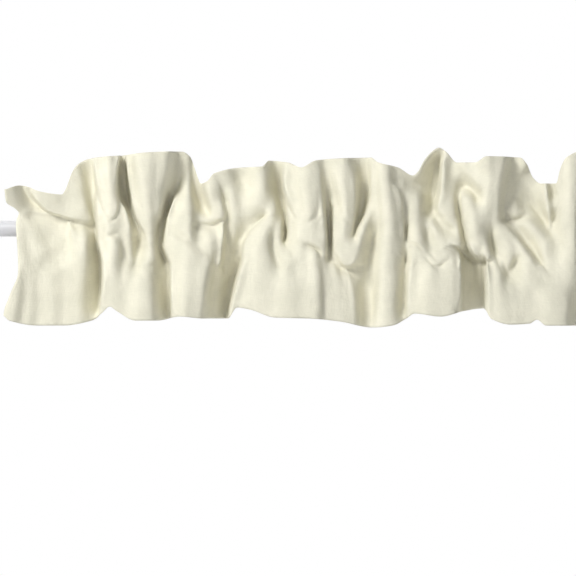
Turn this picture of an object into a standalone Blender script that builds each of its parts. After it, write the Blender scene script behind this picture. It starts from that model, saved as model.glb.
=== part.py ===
"""A gathered cloth valance on its rod, at real size, in metres, +Z up.

The valance is one long sleeve of cream cotton, folded double, gathered on a round rod. Two rows of stitching
make the pocket for the rod. Above them the doubled cloth stands up as a ruffled heading, and below them it
hangs as a ruffled skirt. The front faces -Y. The origin is the centre of the rod's left end.
"""

import math
from collections import namedtuple

import bmesh
import bpy
import numpy as np
from mathutils import Matrix

MM = 0.001

# Driving sizes, in millimetres
ROD_LENGTH = 711.0
ROD_RADIUS = 8.0
ROD_BEVEL = 0.8
ROD_SIDES = 32
CLOTH_THICKNESS = 1.6
ROD_CLEARANCE = 0.4
STITCH_WIDTH = 1.8
TABLE_ZERO = 13.0

# How the cloth follows its fold lines
FOLD_DEPTH = 1.6
REACH = 34.0
ADDED_ROUNDING = 1.4
UPRIGHT_STRETCH = 0.62
CURVE_STEPS = 6
FINE_STEPS = 500
IN_AND_OUT_WEIGHT = 0.8
ROW_SMOOTHING = 8
STEEPEST = 1.9
CHORD_ALLOWANCE = 0.5

# The mesh of the cloth: each row lies at a share of the way from one line of the cloth to the next one up
COLUMNS = 112
Row = namedtuple("Row", "lower upper share")
ROWS = [
    Row("hem", "skirt head", 0.0),
    Row("hem", "skirt head", 0.24),
    Row("hem", "skirt head", 0.50),
    Row("hem", "skirt head", 0.76),
    Row("hem", "skirt head", 1.0),
    Row("pocket foot", "pocket head", 0.0),
    Row("pocket foot", "pocket head", 0.20),
    Row("pocket foot", "pocket head", 0.40),
    Row("pocket foot", "pocket head", 0.58),
    Row("pocket foot", "pocket head", 0.75),
    Row("pocket foot", "pocket head", 0.91),
    Row("pocket foot", "pocket head", 1.0),
    Row("heading foot", "top edge", 0.0),
    Row("heading foot", "top edge", 0.16),
    Row("heading foot", "top edge", 0.36),
    Row("heading foot", "top edge", 0.58),
    Row("heading foot", "top edge", 0.80),
    Row("heading foot", "top edge", 1.0),
]

# The back ply between the two stitch rows, from below to above. Its distance behind the rod's axis is its own
# figure, plus some of its own puffing out, less a share of how far out the cloth stands at each stitch row.
BackPlace = namedtuple("BackPlace", "up behind puff low_share high_share")
BACK_PLACES = [
    BackPlace(-24.5, 3.0, 0.7, 0.35, 0.0),
    BackPlace(-9.0, 10.0, 1.0, 0.0, 0.0),
    BackPlace(3.0, 11.0, 0.7, 0.0, 0.0),
    BackPlace(8.5, 7.2, 0.2, 0.0, 0.0),
    BackPlace(8.4, -0.5, 0.0, 0.0, 0.0),
]
BACK_PUFF = 0.28
BACK_SHIFT = 7.0
BACK_MIDDLE = -14.0

COTTON_COLOUR = (0.78, 0.75, 0.62)
ENAMEL_COLOUR = (0.62, 0.62, 0.61)
MERGE_DISTANCE = 0.00001

# A fold line runs down the cloth through three places. Each place is (across, up, out) in millimetres:
# across from the photo's left side, up from the rod's axis, and out from the rod's axis towards the
# front, times FOLD_DEPTH. Left and right say how strongly it pulls the cloth on each side of it, seen
# as it runs from head to foot. A weak side makes a crisp edge there. Round is the radius over which it
# is rounded off.
Fold = namedtuple("Fold", "name head middle foot left right round", defaults=[1.0, 1.0, 1.4])

HEADING_FOLDS = [
    Fold("flap edge", (7, 40, 29), (14, 29, 25), (20, 15, 18.5)),
    Fold("flap inside", (26, 41, 12.5), (34, 28, 11), (43, 19, 12), 0.9, 0.4),
    Fold("flap crest", (29, 42, 17.5), (37, 30, 18), (45, 20, 18), 0.4, 1.0),
    Fold("flap lip", (45, 19, 16.5), (62, 12.5, 15.5), (90, 6.5, 12.5), 0.3, 1.0),
    Fold("under the lip", (32, 14, 12), (56, 9.5, 9), (91, 2.5, 5), 0.7, 0.4),
    Fold("flap top", (36, 39, 19), (50, 36, 19), (64, 35, 16), 1.0, 1.0, round=4.0),
    Fold("first lobe slope", (70, 54, 16), (77, 38, 16), (83, 20, 16), 1.3, 1.3, round=4.0),
    Fold("first lobe valley", (89, 66, 9), (90, 44, 6), (91.5, 22, 6), 0.4, 1.0),
    Fold("beside first finger", (92.5, 64, 8), (94, 44, 6), (98, 31, 12), 1.0, 0.4),
    Fold("first finger edge", (95, 66, 22), (98, 44, 23), (105, 22, 22), 0.4, 1.0),
    Fold("first finger", (111, 71, 28), (111, 46, 31), (112, 20, 27), round=4.0),
    Fold("first finger right edge", (119.5, 69, 27), (117, 48, 28), (118.5, 21, 24), 1.0, 0.4),
    Fold("dark slot left", (121.5, 69, 10), (119, 47, 7), (121.5, 28, 8), 0.4, 1.0),
    Fold("dark slot", (123, 72, 8), (124, 50, 5), (127, 31, 5), 1.1, 1.1),
    Fold("slot tail", (127, 33, 4), (133, 14, 7), (143, -6, 11), 0.8, 0.4),
    Fold("funnel edge", (126, 71, 20), (131, 34, 22), (138, 10, 22), 0.4, 1.0),
    Fold("funnel edge foot", (138, 10, 22), (143, 0, 23), (148, -10, 22), 0.4, 1.0),
    Fold("funnel", (139, 75, 27), (145, 36, 28), (152, -12, 25), 1.7, 1.7, round=6.0),
    Fold("funnel shoulder", (158, 76, 25), (158, 50, 24), (156, 20, 23), 0.5, 0.9),
    Fold("third valley", (187, 76, 11), (181, 54, 6), (170, 28, 3), 0.4, 1.1),
    Fold("third valley foot", (170, 28, 2), (163.5, 8, 5), (161, -10, 7), 0.5, 0.6),
    Fold("lobe corner", (189.5, 73, 10), (189, 55, 10), (186, 38, 14), 0.7, 0.4),
    Fold("back ply showing", (191.5, 71, 4), (191, 56, 5), (196, 46, 6), 0.4, 0.8),
    Fold("fourth valley", (195, 40, 3), (200, 27, 3), (207, 17, 8)),
    Fold("small bulge", (206, 50, 20), (212, 32, 20.5), (212, 12, 18.5), 1.0, 1.0, round=4.0),
    Fold("small bulge edge", (220, 30, 17), (223, 21, 19), (223.5, 12, 19), 1.0, 0.4),
    Fold("bulge lip", (200, 8, 15), (212, 8.5, 17), (223, 13, 18), 0.3, 1.0),
    Fold("under the bulge", (200, 4.5, 13), (213, 5, 13), (223, 9, 13), 1.0, 0.3),
    Fold("shallow valley", (243, 60, 10), (242, 46, 9), (240, 33, 12), 1.1, 1.1, round=6.0),
    Fold("before the shallow valley", (222, 57, 17), (224, 46, 17), (226, 34, 18), 0.8, 0.8, round=5.0),
    Fold("fifth lobe", (262, 66, 18), (262, 45, 19), (261, 24, 20), round=5.0),
    Fold("knob valley", (275, 67, 6), (279, 44, 1), (282, 26, 2), 0.9, 0.7),
    Fold("knob valley foot", (282, 26, 2), (285.5, 8, 5), (286, -8, 9), 0.7, 0.4),
    Fold("knob edge", (287, 60, 17), (284.5, 44, 20), (290, 26, 22), 0.4, 1.0),
    Fold("knob edge foot", (290, 27, 21), (294, 18, 23), (298, 9, 25), 0.6, 0.8),
    Fold("knob", (308, 62, 23), (309, 32, 29), (311, 8, 28), 1.2, 1.2, round=4.0),
    Fold("knob right", (318, 60, 22), (320.5, 32, 27), (324, 8, 27), 1.0, 0.4),
    Fold("sixth valley", (324, 62, 17), (326, 40, 15), (330, 20, 11), 0.5, 1.0),
    Fold("long band", (334, 66, 20), (345, 36, 26), (344, -6, 26), round=4.0),
    Fold("long band right edge", (352, 46, 22), (353.5, 22, 23), (350, -6, 22), 1.0, 0.7),
    Fold("seventh valley", (365, 66, 9), (364.5, 42, 6), (361, 16, 8), 1.1, 1.1, round=2.5),
    Fold("seventh valley foot", (360, 16, 8), (355, 3, 11), (353, -8, 15), 0.4, 0.6),
    Fold("eighth lobe edge", (372.5, 66, 17), (372.5, 36, 19), (375, 14, 19), 0.5, 0.8),
    Fold("eighth lobe", (382, 63, 21), (386, 36, 27), (390, -4, 28), 1.3, 1.3, round=4.0),
    Fold("eighth right edge", (398, 36, 23), (402.5, 16, 23), (403.5, -24, 22.5), 1.0, 0.4),
    Fold("ninth pinch head", (402, 46, 17), (404, 24, 15), (406, 0, 12.5), 0.4, 0.7),
    Fold("saddle top", (400, 58, 15), (412, 52, 13), (419, 55, 13), 0.8, 0.8),
    Fold("saddle shade", (398, 52, 15), (414, 46, 9), (430, 44, 2), 0.9, 0.9),
    Fold("peak rim", (423, 64, 12), (430, 74, 13), (438, 79, 13), 0.7, 0.7),
    Fold("peak shade", (426, 56, 5), (433, 64, 2), (438, 71, 2), 0.6, 0.6),
    Fold("peak valley", (438, 64, -1), (436.5, 40, -3), (434, 24, 0), 1.1, 0.5),
    Fold("peak valley foot", (434, 22, 5), (440, 8, 10), (452, -1, 13), 0.8, 0.4),
    Fold("peak edge", (443, 66, 16), (441, 40, 18), (438, 23, 19), 0.4, 1.0),
    Fold("peak edge foot", (438, 22, 16.5), (444, 11, 17.5), (456, 1, 17.5), 0.4, 1.0),
    Fold("peak right", (452, 66, 10), (453, 40, 14), (451, 22, 18.5), 1.0, 1.0, round=4.0),
    Fold("ninth arch", (460, 38, 8), (464, 42.5, 7), (477, 33, 12), 0.8, 0.8),
    Fold("ninth top", (466, 64, 18), (474, 55, 20), (481, 50, 22)),
    Fold("ninth crest", (483, 68, 27), (485, 44, 28), (484, 12, 25), 1.1, 1.1, round=7.0),
    Fold("ninth crest shoulder", (497, 68, 24), (496, 44, 24), (495, 12, 22), 0.5, 0.9),
    Fold("tenth edge", (518, 62, 12), (511, 44, 11), (506.5, 22, 13), 0.8, 0.4),
    Fold("tenth curl", (524, 68, 16), (525, 64, 16), (522, 60, 14), 0.5, 0.5),
    Fold("far panel", (527, 58, 9), (515.5, 42, 9), (511, 28, 9), 0.4, 0.9),
    Fold("far panel face", (538, 50, 8), (544, 44, 8), (550, 36, 8), round=4.0),
    Fold("far panel shade", (523, 28, 7), (534, 22, 6), (548, 6, 8), 0.9, 0.9),
    Fold("small facet", (512, 28, 12), (514, 20, 14), (516, 15, 15), 0.7, 0.7),
    Fold("small facet crease", (505, 10.5, 9), (515, 9.5, 9), (528, 15, 9), 0.5, 0.5),
    Fold("small finger", (545, 46, 18), (547, 28, 20), (550, 2, 19), 0.8, 0.8),
    Fold("small finger notch", (528, 24, 10), (540, 12, 9), (551, -2, 9), 0.5, 0.5),
    Fold("beside small finger", (556, 15, 13), (554, 8, 11), (551, -2, 9), 0.6, 0.5),
    Fold("eleventh lobe edge", (560, 66, 17), (559.5, 40, 19), (561, 10, 21), 0.4, 1.0),
    Fold("eleventh lobe", (571, 74, 20), (570, 40, 24), (566, 4, 25), 1.2, 1.2, round=4.0),
    Fold("twelfth valley", (596, 74, 5), (596, 42, 1), (595, 14, 4)),
    Fold("thirteenth edge", (600, 72, 19), (600, 40, 22), (599, 12, 20), 0.4, 1.0),
    Fold("thirteenth lobe", (612, 67, 23), (613, 40, 26), (610, 12, 23), 1.2, 1.2, round=4.0),
    Fold("fourteenth valley", (631, 62, 6), (633, 38, 2), (632, 14, 5)),
    Fold("end lobe", (648, 66, 16), (647, 42, 20), (645, 14, 17), round=4.0),
]

POCKET_FOLDS = [
    Fold("end over the rod", (17, 9, 18), (17, -12, 21), (18, -32, 23)),
    Fold("end panel top", (19, 11, 18), (36, 9.5, 15.5), (52, 4, 12.5), 0.8, 0.8, round=4.0),
    Fold("end panel", (28, 4, 18), (31, -12, 18.5), (36, -30, 20), 1.0, 1.0, round=4.0),
    Fold("beside facet", (64, 4, 11), (67, -7, 12), (68, -20, 15), 0.7, 0.4),
    Fold("facet edge", (68.5, 6, 15), (72, -5, 17), (74, -20, 19), 0.3, 0.8),
    Fold("diagonal shade", (64, -16, 15), (54, -28, 16), (44, -38, 17), 0.5, 0.5, round=5.0),
    Fold("facet", (80, 6, 18), (84, -8, 21), (82, -26, 21), round=4.0),
    Fold("first pinch", (92.5, 28, 4), (94.5, 8, 3), (96.5, -16, 1), 0.6, 0.4),
    Fold("knot edge", (96.5, 28, 19), (98, 8, 20), (100, -16, 19), 0.4, 1.0),
    Fold("knot", (104, 22, 24), (108, 8, 26), (109, -3, 25), round=4.0),
    Fold("knot right edge", (120, 29, 21), (129, 10, 23), (130, -10, 21), 1.0, 0.4),
    Fold("knot right foot", (130, -10, 21), (130, -22, 20), (127, -36, 21), 0.8, 0.5),
    Fold("arch shade", (113, -7, 21), (121, -9, 18), (126, -28, 17), 0.6, 0.6),
    Fold("second finger tip", (108, -16, 25), (114, -11, 27), (119, -16, 26), 0.8, 0.8),
    Fold("second pinch", (138, -10, 8), (138, -24, 12), (136, -36, 18), 0.8, 0.8),
    Fold("third pinch", (159.5, 2, 5), (158.5, -14, 6), (166, -32, 3), 0.5, 0.4),
    Fold("fourth edge", (174, 31, 19), (166.5, 0, 21), (169, -30, 22), 0.4, 1.0),
    Fold("fourth panel", (182, 22, 21), (177, -4, 24), (178, -32, 26), round=4.0),
    Fold("fourth crest", (189, 36, 21), (189, -8, 27), (187, -36, 29), round=4.0),
    Fold("cheek", (204, -2, 21), (210, -14, 24), (206, -28, 25), round=4.0),
    Fold("cheek edge", (223.5, 3, 21), (223, -14, 22), (220, -36, 21), 0.7, 0.35),
    Fold("fifth pinch", (223, 31, 10), (227, 4, 10), (223, -38, 6), 0.4, 0.9),
    Fold("leaf", (231, 30, 18), (233, 6, 16), (231, -20, 8), 1.0, 1.0, round=4.0),
    Fold("leaf shade", (264, 11, 13), (246, -6, 9), (238, -22, 5), 0.9, 0.4),
    Fold("sixth edge", (267, 10, 18), (248, -8, 23), (244, -32, 27), 0.4, 1.0),
    Fold("sixth panel", (274, 20, 19), (262, -12, 27), (260, -36, 29), 1.2, 1.2, round=4.0),
    Fold("loop valley", (276, 2, 19), (274, -14, 19), (279, -36, 24), 0.5, 0.5),
    Fold("loop ridge", (281, 6, 19), (280, -14, 22), (285, -32, 25), 0.5, 0.5),
    Fold("knob left arm", (288, 19, 17), (289, 4, 19), (289, -14, 20), 0.4, 0.9),
    Fold("knob band", (303, 0, 26), (301, -14, 27), (297, -30, 27), round=4.0),
    Fold("knob right foot", (322, 8, 24), (325.5, -12, 26), (322, -30, 24), 1.0, 0.35),
    Fold("knob lip", (306, -13, 26), (316, -15, 26), (325, -24, 24.5), 0.4, 0.8),
    Fold("under the knob lip", (307, -17, 22), (315, -18.5, 22), (321, -24, 21), 0.6, 0.3),
    Fold("seventh pinch", (328, 20, 11), (330, -6, 9), (329, -28, 10), 0.5, 0.4),
    Fold("long band edge", (330, 26, 19), (335, 4, 22), (334, -22, 22), 0.4, 1.0),
    Fold("long band foot", (337, -24, 24), (346, -33, 25), (355, -31, 23), 0.3, 0.9),
    Fold("under the long band", (334, -31, 17), (346, -42, 16), (360, -36, 14), 0.8, 0.3),
    Fold("slanting ridge", (369, 15, 21), (361, -6, 25), (354, -30, 25), 0.9, 0.9),
    Fold("slanting shade", (378, 2, 17), (373, -14, 12), (369, -32, 11), 0.8, 0.6),
    Fold("eighth panel", (390, -6, 27), (389, -22, 27), (386, -38, 27), 1.2, 1.2, round=4.0),
    Fold("ninth pinch", (406, 0, 11), (405.5, -14, 10), (405, -30, 11), 0.4, 0.4),
    Fold("ninth panel edge", (408.5, 28, 16), (408, 8, 19), (408, -20, 20), 0.4, 1.0),
    Fold("ninth panel", (416, 30, 17), (415, 6, 22), (413, -18, 24), round=4.0),
    Fold("ninth panel drape", (428, -2, 15), (429, -14, 15), (430, -26, 19), 0.6, 0.6),
    Fold("ninth panel front", (433, 4, 19), (440, -14, 22), (440, -30, 26), 0.9, 0.9, round=4.0),
    Fold("first pouch lip", (411, -19, 25), (418, -15.5, 25), (424, -20, 24), 0.4, 0.8),
    Fold("second pouch lip", (427, -29, 25), (437, -33.5, 26), (447, -29, 25), 0.4, 0.8),
    Fold("third pouch lip", (447, -28, 25), (452, -19, 24), (460, -18, 22), 0.4, 0.8),
    Fold("ninth panel right", (446, 6, 20), (454, -6, 21), (462, -16, 20), 0.8, 0.8, round=4.0),
    Fold("tenth pinch", (458, 30, 7), (461, 10, 7), (465.5, -14, 8), 0.5, 0.4),
    Fold("tongue edge", (462, 30, 19), (466, 6, 22), (472, -18, 22), 0.4, 1.0),
    Fold("tongue", (470, 30, 23), (473, 4, 27), (478, -26, 26), 1.2, 1.2, round=4.0),
    Fold("tongue tip", (470, -18, 24), (478, -29, 25), (485, -27, 25), 0.3, 0.9),
    Fold("under the tongue", (460, -21, 5), (474, -31, 2), (485, -32, 2), 1.0, 0.3),
    Fold("twelfth crest", (489, -6, 22), (484, -20, 25), (483, -30, 26), round=4.0),
    Fold("eye shade", (491, -4, 14), (492, -16, 13), (498, -32, 17), 0.6, 0.6),
    Fold("eleventh rib edge", (499, 0, 20), (500, -24, 21), (505, -42, 22), 0.4, 0.9),
    Fold("eleventh rib", (504, -4, 23), (508, -20, 24), (510, -36, 23), 0.8, 0.8, round=4.0),
    Fold("forked crease", (506, -40, 18), (510, -47, 16), (516, -33, 18), 0.5, 0.5),
    Fold("slanting fold edge", (508, 0, 20), (520, -14, 23), (535, -36, 26), 0.9, 0.4),
    Fold("slanting fold shade", (511, 3, 11), (524, -11, 12), (539, -33, 15), 0.4, 0.9),
    Fold("slanting fold", (514, 11, 17), (532, 2, 21), (546, -12, 22), 0.9, 0.9, round=4.0),
    Fold("twelfth ridge", (552, -2, 20), (546, -20, 24), (540, -40, 27), round=4.0),
    Fold("thirteenth panel", (572, 4, 25), (573, -20, 27.5), (573, -40, 29), 1.2, 1.2, round=4.0),
    Fold("thirteenth shade", (583, 8, 18), (583, -12, 17), (583, -32, 18), 0.8, 0.8),
    Fold("fourteenth pinch", (595, 12, 6), (593, -10, 6), (593, -34, 5), 0.9, 0.4),
    Fold("fourteenth edge", (599, 12, 19), (596.5, -10, 21), (596.5, -34, 22), 0.4, 1.0),
    Fold("fifteenth panel", (610, 10, 22), (611, -12, 25), (613, -34, 26), 1.3, 1.3, round=4.0),
    Fold("fifteenth pinch", (632, 12, 7), (631, -12, 7), (630, -32, 7)),
    Fold("far end", (648, 8, 14), (650, -12, 16), (650, -34, 17)),
]

SKIRT_FOLDS = [
    Fold("end edge", (17, -40, 25), (13, -62, 28), (7, -88, 28.5), 0.8, 0.8),
    Fold("end panel rise", (29, -44, 22), (28, -62, 22.5), (25, -90, 22.5), 0.5, 0.5, round=4.0),
    Fold("end panel hollow", (47, -44, 20), (46, -62, 19.5), (45, -90, 19.5), 0.9, 0.9, round=7.0),
    Fold("end panel foot", (70, -48, 16.5), (71, -62, 16.5), (72, -94, 16.5), 1.0, 1.0, round=6.0),
    Fold("first valley", (98, -20, 1), (100.5, -44, 0), (99, -78, 0), 0.6, 0.4),
    Fold("second finger edge", (100, -18, 21), (104.5, -42, 28), (101, -76, 29), 0.4, 1.0),
    Fold("second finger", (113, -14, 28), (112, -44, 29), (112, -78, 29), 1.1, 1.1, round=4.0),
    Fold("second panel left", (127, -40, 26), (126, -66, 28), (127, -92, 29), 0.7, 0.7, round=4.0),
    Fold("second panel", (140, -40, 28), (141, -66, 31), (143, -92, 31), 1.3, 1.3, round=7.0),
    Fold("second valley", (168.5, -36, 8), (169, -62, 7), (170, -86, 7), 0.6, 0.4),
    Fold("third edge", (171.5, -36, 25), (171.5, -62, 28), (173, -86, 28), 0.4, 1.0),
    Fold("third crest", (187, -36, 29), (186, -62, 32), (183, -88, 33), round=4.0),
    Fold("third right", (206, -38, 29), (203, -60, 31), (200, -89, 31), round=4.0),
    Fold("third slope", (219, -42, 12), (214, -64, 9), (211, -88, 9), round=4.0),
    Fold("third valley", (240, -34, 4), (233, -56, 1), (227.5, -82, 0), 1.1, 0.4),
    Fold("fourth edge", (244, -32, 27), (237, -56, 29), (231, -80, 28), 0.4, 1.0),
    Fold("fourth panel", (262, -36, 28.5), (262, -60, 30), (260, -84, 30), 1.4, 1.4, round=4.0),
    Fold("fourth right", (286, -40, 30), (288, -64, 31.5), (290, -88, 32), 1.0, 1.0, round=4.0),
    Fold("shallow trough", (302, -40, 29.5), (302, -62, 30.5), (302, -89, 31), 0.5, 0.5, round=4.0),
    Fold("narrow crest", (314, -24, 28), (316, -54, 31), (316.5, -89, 32), 0.9, 0.8),
    Fold("narrow crest edge", (319, -34, 28.5), (319.5, -62, 30.5), (319.5, -89, 31), 1.0, 0.4),
    Fold("seam recess", (322.5, -36, 24), (323, -62, 25.3), (322.5, -90, 26), 0.4, 1.0),
    Fold("seam recess face", (335, -42, 23), (336, -64, 25), (336, -92, 25.5)),
    Fold("seam", (346, -42, 22), (349, -64, 24), (352, -95, 24.5), 0.8, 0.8),
    Fold("fifth valley", (370, -38, 12), (369, -62, 11), (367, -94, 13), 1.0, 1.0, round=4.0),
    Fold("fifth panel", (385, -40, 26), (384, -68, 28.5), (383, -97, 29), 1.3, 1.3, round=6.0),
    Fold("sixth valley", (406, -33, 16), (405.5, -56, 16), (405, -78, 16), 0.5, 0.3),
    Fold("sixth edge", (411, -28, 25), (408, -56, 28), (407.5, -78, 28), 0.4, 1.0),
    Fold("sixth panel", (431, -40, 30.5), (431, -62, 32), (431, -86, 32.5), 1.1, 1.1, round=4.0),
    Fold("sixth hollow", (445, -42, 29.5), (445, -62, 31.5), (445, -86, 32), 0.6, 0.6, round=4.0),
    Fold("sixth right", (452, -26, 27.5), (453, -55, 32), (452, -84, 32.5), 1.0, 1.0, round=4.0),
    Fold("sixth right edge", (460, -22, 26), (460.5, -56, 30.5), (458.5, -76, 31), 1.0, 0.4),
    Fold("seventh valley left", (463.5, -24, 5), (464, -56, 2), (462, -76, 1), 0.4, 1.0),
    Fold("seventh valley", (474, -36, 2), (474, -56, 0), (473, -80, 0), 1.3, 1.3),
    Fold("seventh valley right", (483, -32, 3), (484, -56, 1), (484, -80, 0), 0.9, 0.3),
    Fold("seventh edge", (486, -30, 26), (487, -56, 29), (487.5, -86, 29), 0.4, 1.0),
    Fold("seventh crest", (495, -34, 27), (498, -60, 30), (500, -92, 30), round=4.0),
    Fold("seventh hollow", (508, -46, 27), (512, -64, 29), (513, -94, 30), 0.6, 0.6, round=4.0),
    Fold("eighth panel", (531, -46, 27), (530, -66, 29), (528, -94, 29), 1.2, 1.2, round=4.0),
    Fold("eighth hollow", (549, -40, 27), (552, -54, 28.5), (549, -68, 31), 0.7, 0.7, round=4.0),
    Fold("ninth panel", (553, -74, 31), (552, -84, 32), (551, -97, 32), round=4.0),
    Fold("tenth valley", (587, -50, 25), (587, -74, 24), (587, -96, 24), 0.9, 0.9, round=4.0),
    Fold("tenth panel edge", (597, -40, 22), (598, -64, 27), (599, -95, 28), 0.4, 1.0),
    Fold("tenth panel valley", (593.5, -40, 5), (594, -64, 3), (595, -95, 4), 0.8, 0.4),
    Fold("eleventh panel", (612, -40, 27), (615, -64, 30), (616, -94, 29), 1.2, 1.2, round=4.0),
    Fold("eleventh valley", (631, -40, 6), (633, -64, 1), (634, -92, -1)),
    Fold("far end edge", (652, -40, 18), (655, -62, 21), (658, -92, 23), 1.2, 1.2),
]

# The heading's top edge and the hem, as (across, up) at each rise and dip
TOP_EDGE = [
    (7, 39), (20, 43), (27, 42), (40, 37), (62, 34), (67, 42), (72, 56), (79, 65), (90, 70), (122, 73),
    (150, 76), (182, 77), (190, 72), (195, 59), (201, 45), (207, 47), (214, 55), (240, 61), (262, 62),
    (269, 68), (288, 66), (301, 61), (316, 68), (340, 70), (371, 71), (378, 66), (398, 61), (413, 53),
    (418, 57), (424, 68), (432, 77), (439, 81), (446, 77), (457, 66), (475, 66), (486, 72), (520, 71),
    (527, 64), (533, 51), (541, 45), (556, 45), (560, 60), (566, 71), (580, 77), (598, 76), (614, 69),
    (630, 64), (644, 69), (656, 67), (664, 61),
]
HEM = [
    (5, -87), (10, -92), (38, -97), (64, -97), (92, -92), (103, -84), (110, -78), (118, -83),
    (136, -92), (158, -92), (180, -88), (205, -90), (228, -90), (237, -79), (250, -81), (275, -89),
    (310, -90), (340, -93), (372, -99), (392, -97), (406, -90), (414, -85), (440, -88), (462, -83),
    (484, -80), (490, -90), (510, -96), (529, -95), (536, -91), (545, -97), (575, -97), (600, -95),
    (618, -96), (634, -91), (650, -94), (662, -91),
]
# The two stitch rows, which the gathers pull a little up and down, as (across, up)
STITCH_ABOVE = [
    (5, 12.5), (40, 13.5), (75, 9.5), (98, 8.5), (130, 11.5), (165, 12.0), (205, 9.0), (235, 9.5),
    (275, 12.5), (310, 11.5), (345, 12.5), (385, 11.5), (415, 10.0), (440, 12.5), (470, 12.0),
    (510, 9.0), (545, 9.0), (580, 11.5), (615, 12.5), (660, 10.5),
]
STITCH_BELOW = [
    (5, -36.0), (50, -34.5), (95, -31.5), (125, -36.5), (165, -33.0), (200, -36.5), (235, -34.0),
    (280, -38.0), (320, -33.5), (345, -36.0), (390, -35.0), (425, -33.5), (445, -35.0), (475, -30.5),
    (500, -33.5), (540, -36.5), (575, -34.5), (615, -36.0), (660, -34.0),
]
# The two ends of the cloth, as (up, across), from the hem to the top edge
LEFT_END = [
    (-99, 4), (-87, 5), (-60, 13), (-45, 19), (-20, 18), (8, 16), (14, 20), (28, 14), (39, 7), (81, 5),
]
RIGHT_END = [(-99, 663), (-60, 657), (-36, 653), (-10, 655), (10, 656), (34, 660), (81, 666)]


def through(rows):
    """Turns rows of two columns into a function that runs smoothly through them."""
    at, value = (np.array(column, float) for column in zip(*rows))
    span = np.diff(at)
    slope = np.diff(value) / span
    tangent = np.zeros(len(at))
    same_way = slope[:-1] * slope[1:] > 0
    mean = 2 * slope[:-1] * slope[1:] / np.where(same_way, slope[:-1] + slope[1:], 1)
    tangent[1:-1] = np.where(same_way, mean, 0)
    tangent[0], tangent[-1] = slope[0], slope[-1]

    def curve(x):
        i = np.clip(np.searchsorted(at, x) - 1, 0, len(span) - 1)
        t = np.clip((x - at[i]) / span[i], 0, 1)
        return (
            (1 + 2 * t) * (1 - t) ** 2 * value[i]
            + t * (1 - t) ** 2 * span[i] * tangent[i]
            + t**2 * (3 - 2 * t) * value[i + 1]
            + t**2 * (t - 1) * span[i] * tangent[i + 1]
        )

    return curve


top_edge = through(TOP_EDGE)
hem = through(HEM)
stitch_above = through(STITCH_ABOVE)
stitch_below = through(STITCH_BELOW)
left_end = through(LEFT_END)
right_end = through(RIGHT_END)


def three_place_curve(head, middle, foot):
    """Places along the smooth line from head to foot through the middle place."""
    head, middle, foot = np.array(head, float), np.array(middle, float), np.array(foot, float)
    t = np.linspace(0, 1, CURVE_STEPS + 1)[:, None]
    bend = 2 * middle - (head + foot) / 2
    return (1 - t) ** 2 * head + 2 * t * (1 - t) * bend + t**2 * foot


def outwards(across, up, folds):
    """How far the front of the cloth stands out: every fold line pulls it, the near ones most."""
    place = np.stack([across, up * UPRIGHT_STRETCH], axis=1)
    total = np.zeros(len(across))
    weight = np.full(len(across), 1e-9)
    for fold in folds:
        curve = three_place_curve(fold.head, fold.middle, fold.foot)
        line = curve[:, :2] * (1, UPRIGHT_STRETCH)
        nearest = np.full(len(across), np.inf)
        out = np.zeros(len(across))
        strength = np.ones(len(across))
        for a, b, out_a, out_b in zip(line[:-1], line[1:], curve[:-1, 2], curve[1:, 2]):
            share = np.clip((place - a) @ (b - a) / ((b - a) @ (b - a)), 0, 1)
            gap = ((place - a - share[:, None] * (b - a)) ** 2).sum(axis=1)
            nearer = gap < nearest
            out = np.where(nearer, out_a + share * (out_b - out_a), out)
            turn = (b[0] - a[0]) * (place[:, 1] - a[1]) - (b[1] - a[1]) * (place[:, 0] - a[0])
            strength = np.where(nearer, np.where(turn > 0, fold.right, fold.left), strength)
            nearest = np.where(nearer, gap, nearest)
        away = np.sqrt(nearest + (fold.round + ADDED_ROUNDING) ** 2)
        pull = (strength * np.maximum(1 / away - 1 / REACH, 0)) ** 2
        total += pull * out
        weight += pull
    return FOLD_DEPTH * total / weight


def line_heights(across):
    """The height of each named line of the cloth at each place across it."""
    return {
        "hem": hem(across),
        "skirt head": stitch_below(across) - STITCH_WIDTH,
        "pocket foot": stitch_below(across),
        "pocket head": stitch_above(across),
        "heading foot": stitch_above(across) + STITCH_WIDTH,
        "top edge": top_edge(across),
    }


def row_height(row, across):
    lines = line_heights(across)
    return lines[row.lower] + row.share * (lines[row.upper] - lines[row.lower])


def columns_across(row, folds):
    """Where the columns cross a row, spaced evenly along the cloth as it runs in and out."""
    middle = float(row_height(row, np.array([(left_end(0.0) + right_end(0.0)) / 2]))[0])
    fine = np.linspace(left_end(middle), right_end(middle), FINE_STEPS)
    out = outwards(fine, row_height(row, fine), folds)
    step = np.hypot(np.diff(fine), IN_AND_OUT_WEIGHT * np.diff(out))
    along = np.concatenate([[0], np.cumsum(step)])
    return np.interp(np.linspace(0, along[-1], COLUMNS + 1), along, fine)


def rod_clearance(up, radius):
    return np.sqrt(np.maximum(radius**2 - up**2, 0))


def front_places(folds):
    """The front face of the cloth, row by row from the hem, as across, out and up."""
    across = np.array([columns_across(row, folds) for row in ROWS])
    for _ in range(ROW_SMOOTHING):
        across[1:-1] = (across[:-2] + 2 * across[1:-1] + across[2:]) / 4
    up = np.array([row_height(row, line) for row, line in zip(ROWS, across)])
    out = outwards(across.ravel(), up.ravel(), folds).reshape(across.shape)
    clear = rod_clearance(up, ROD_RADIUS + ROD_CLEARANCE + CHORD_ALLOWANCE)
    out = np.maximum(out, clear + CLOTH_THICKNESS)
    depth = sheet_depth(across, out, up)
    return across, np.where(clear > 0, np.maximum(out, clear + depth), out), up, depth


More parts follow.
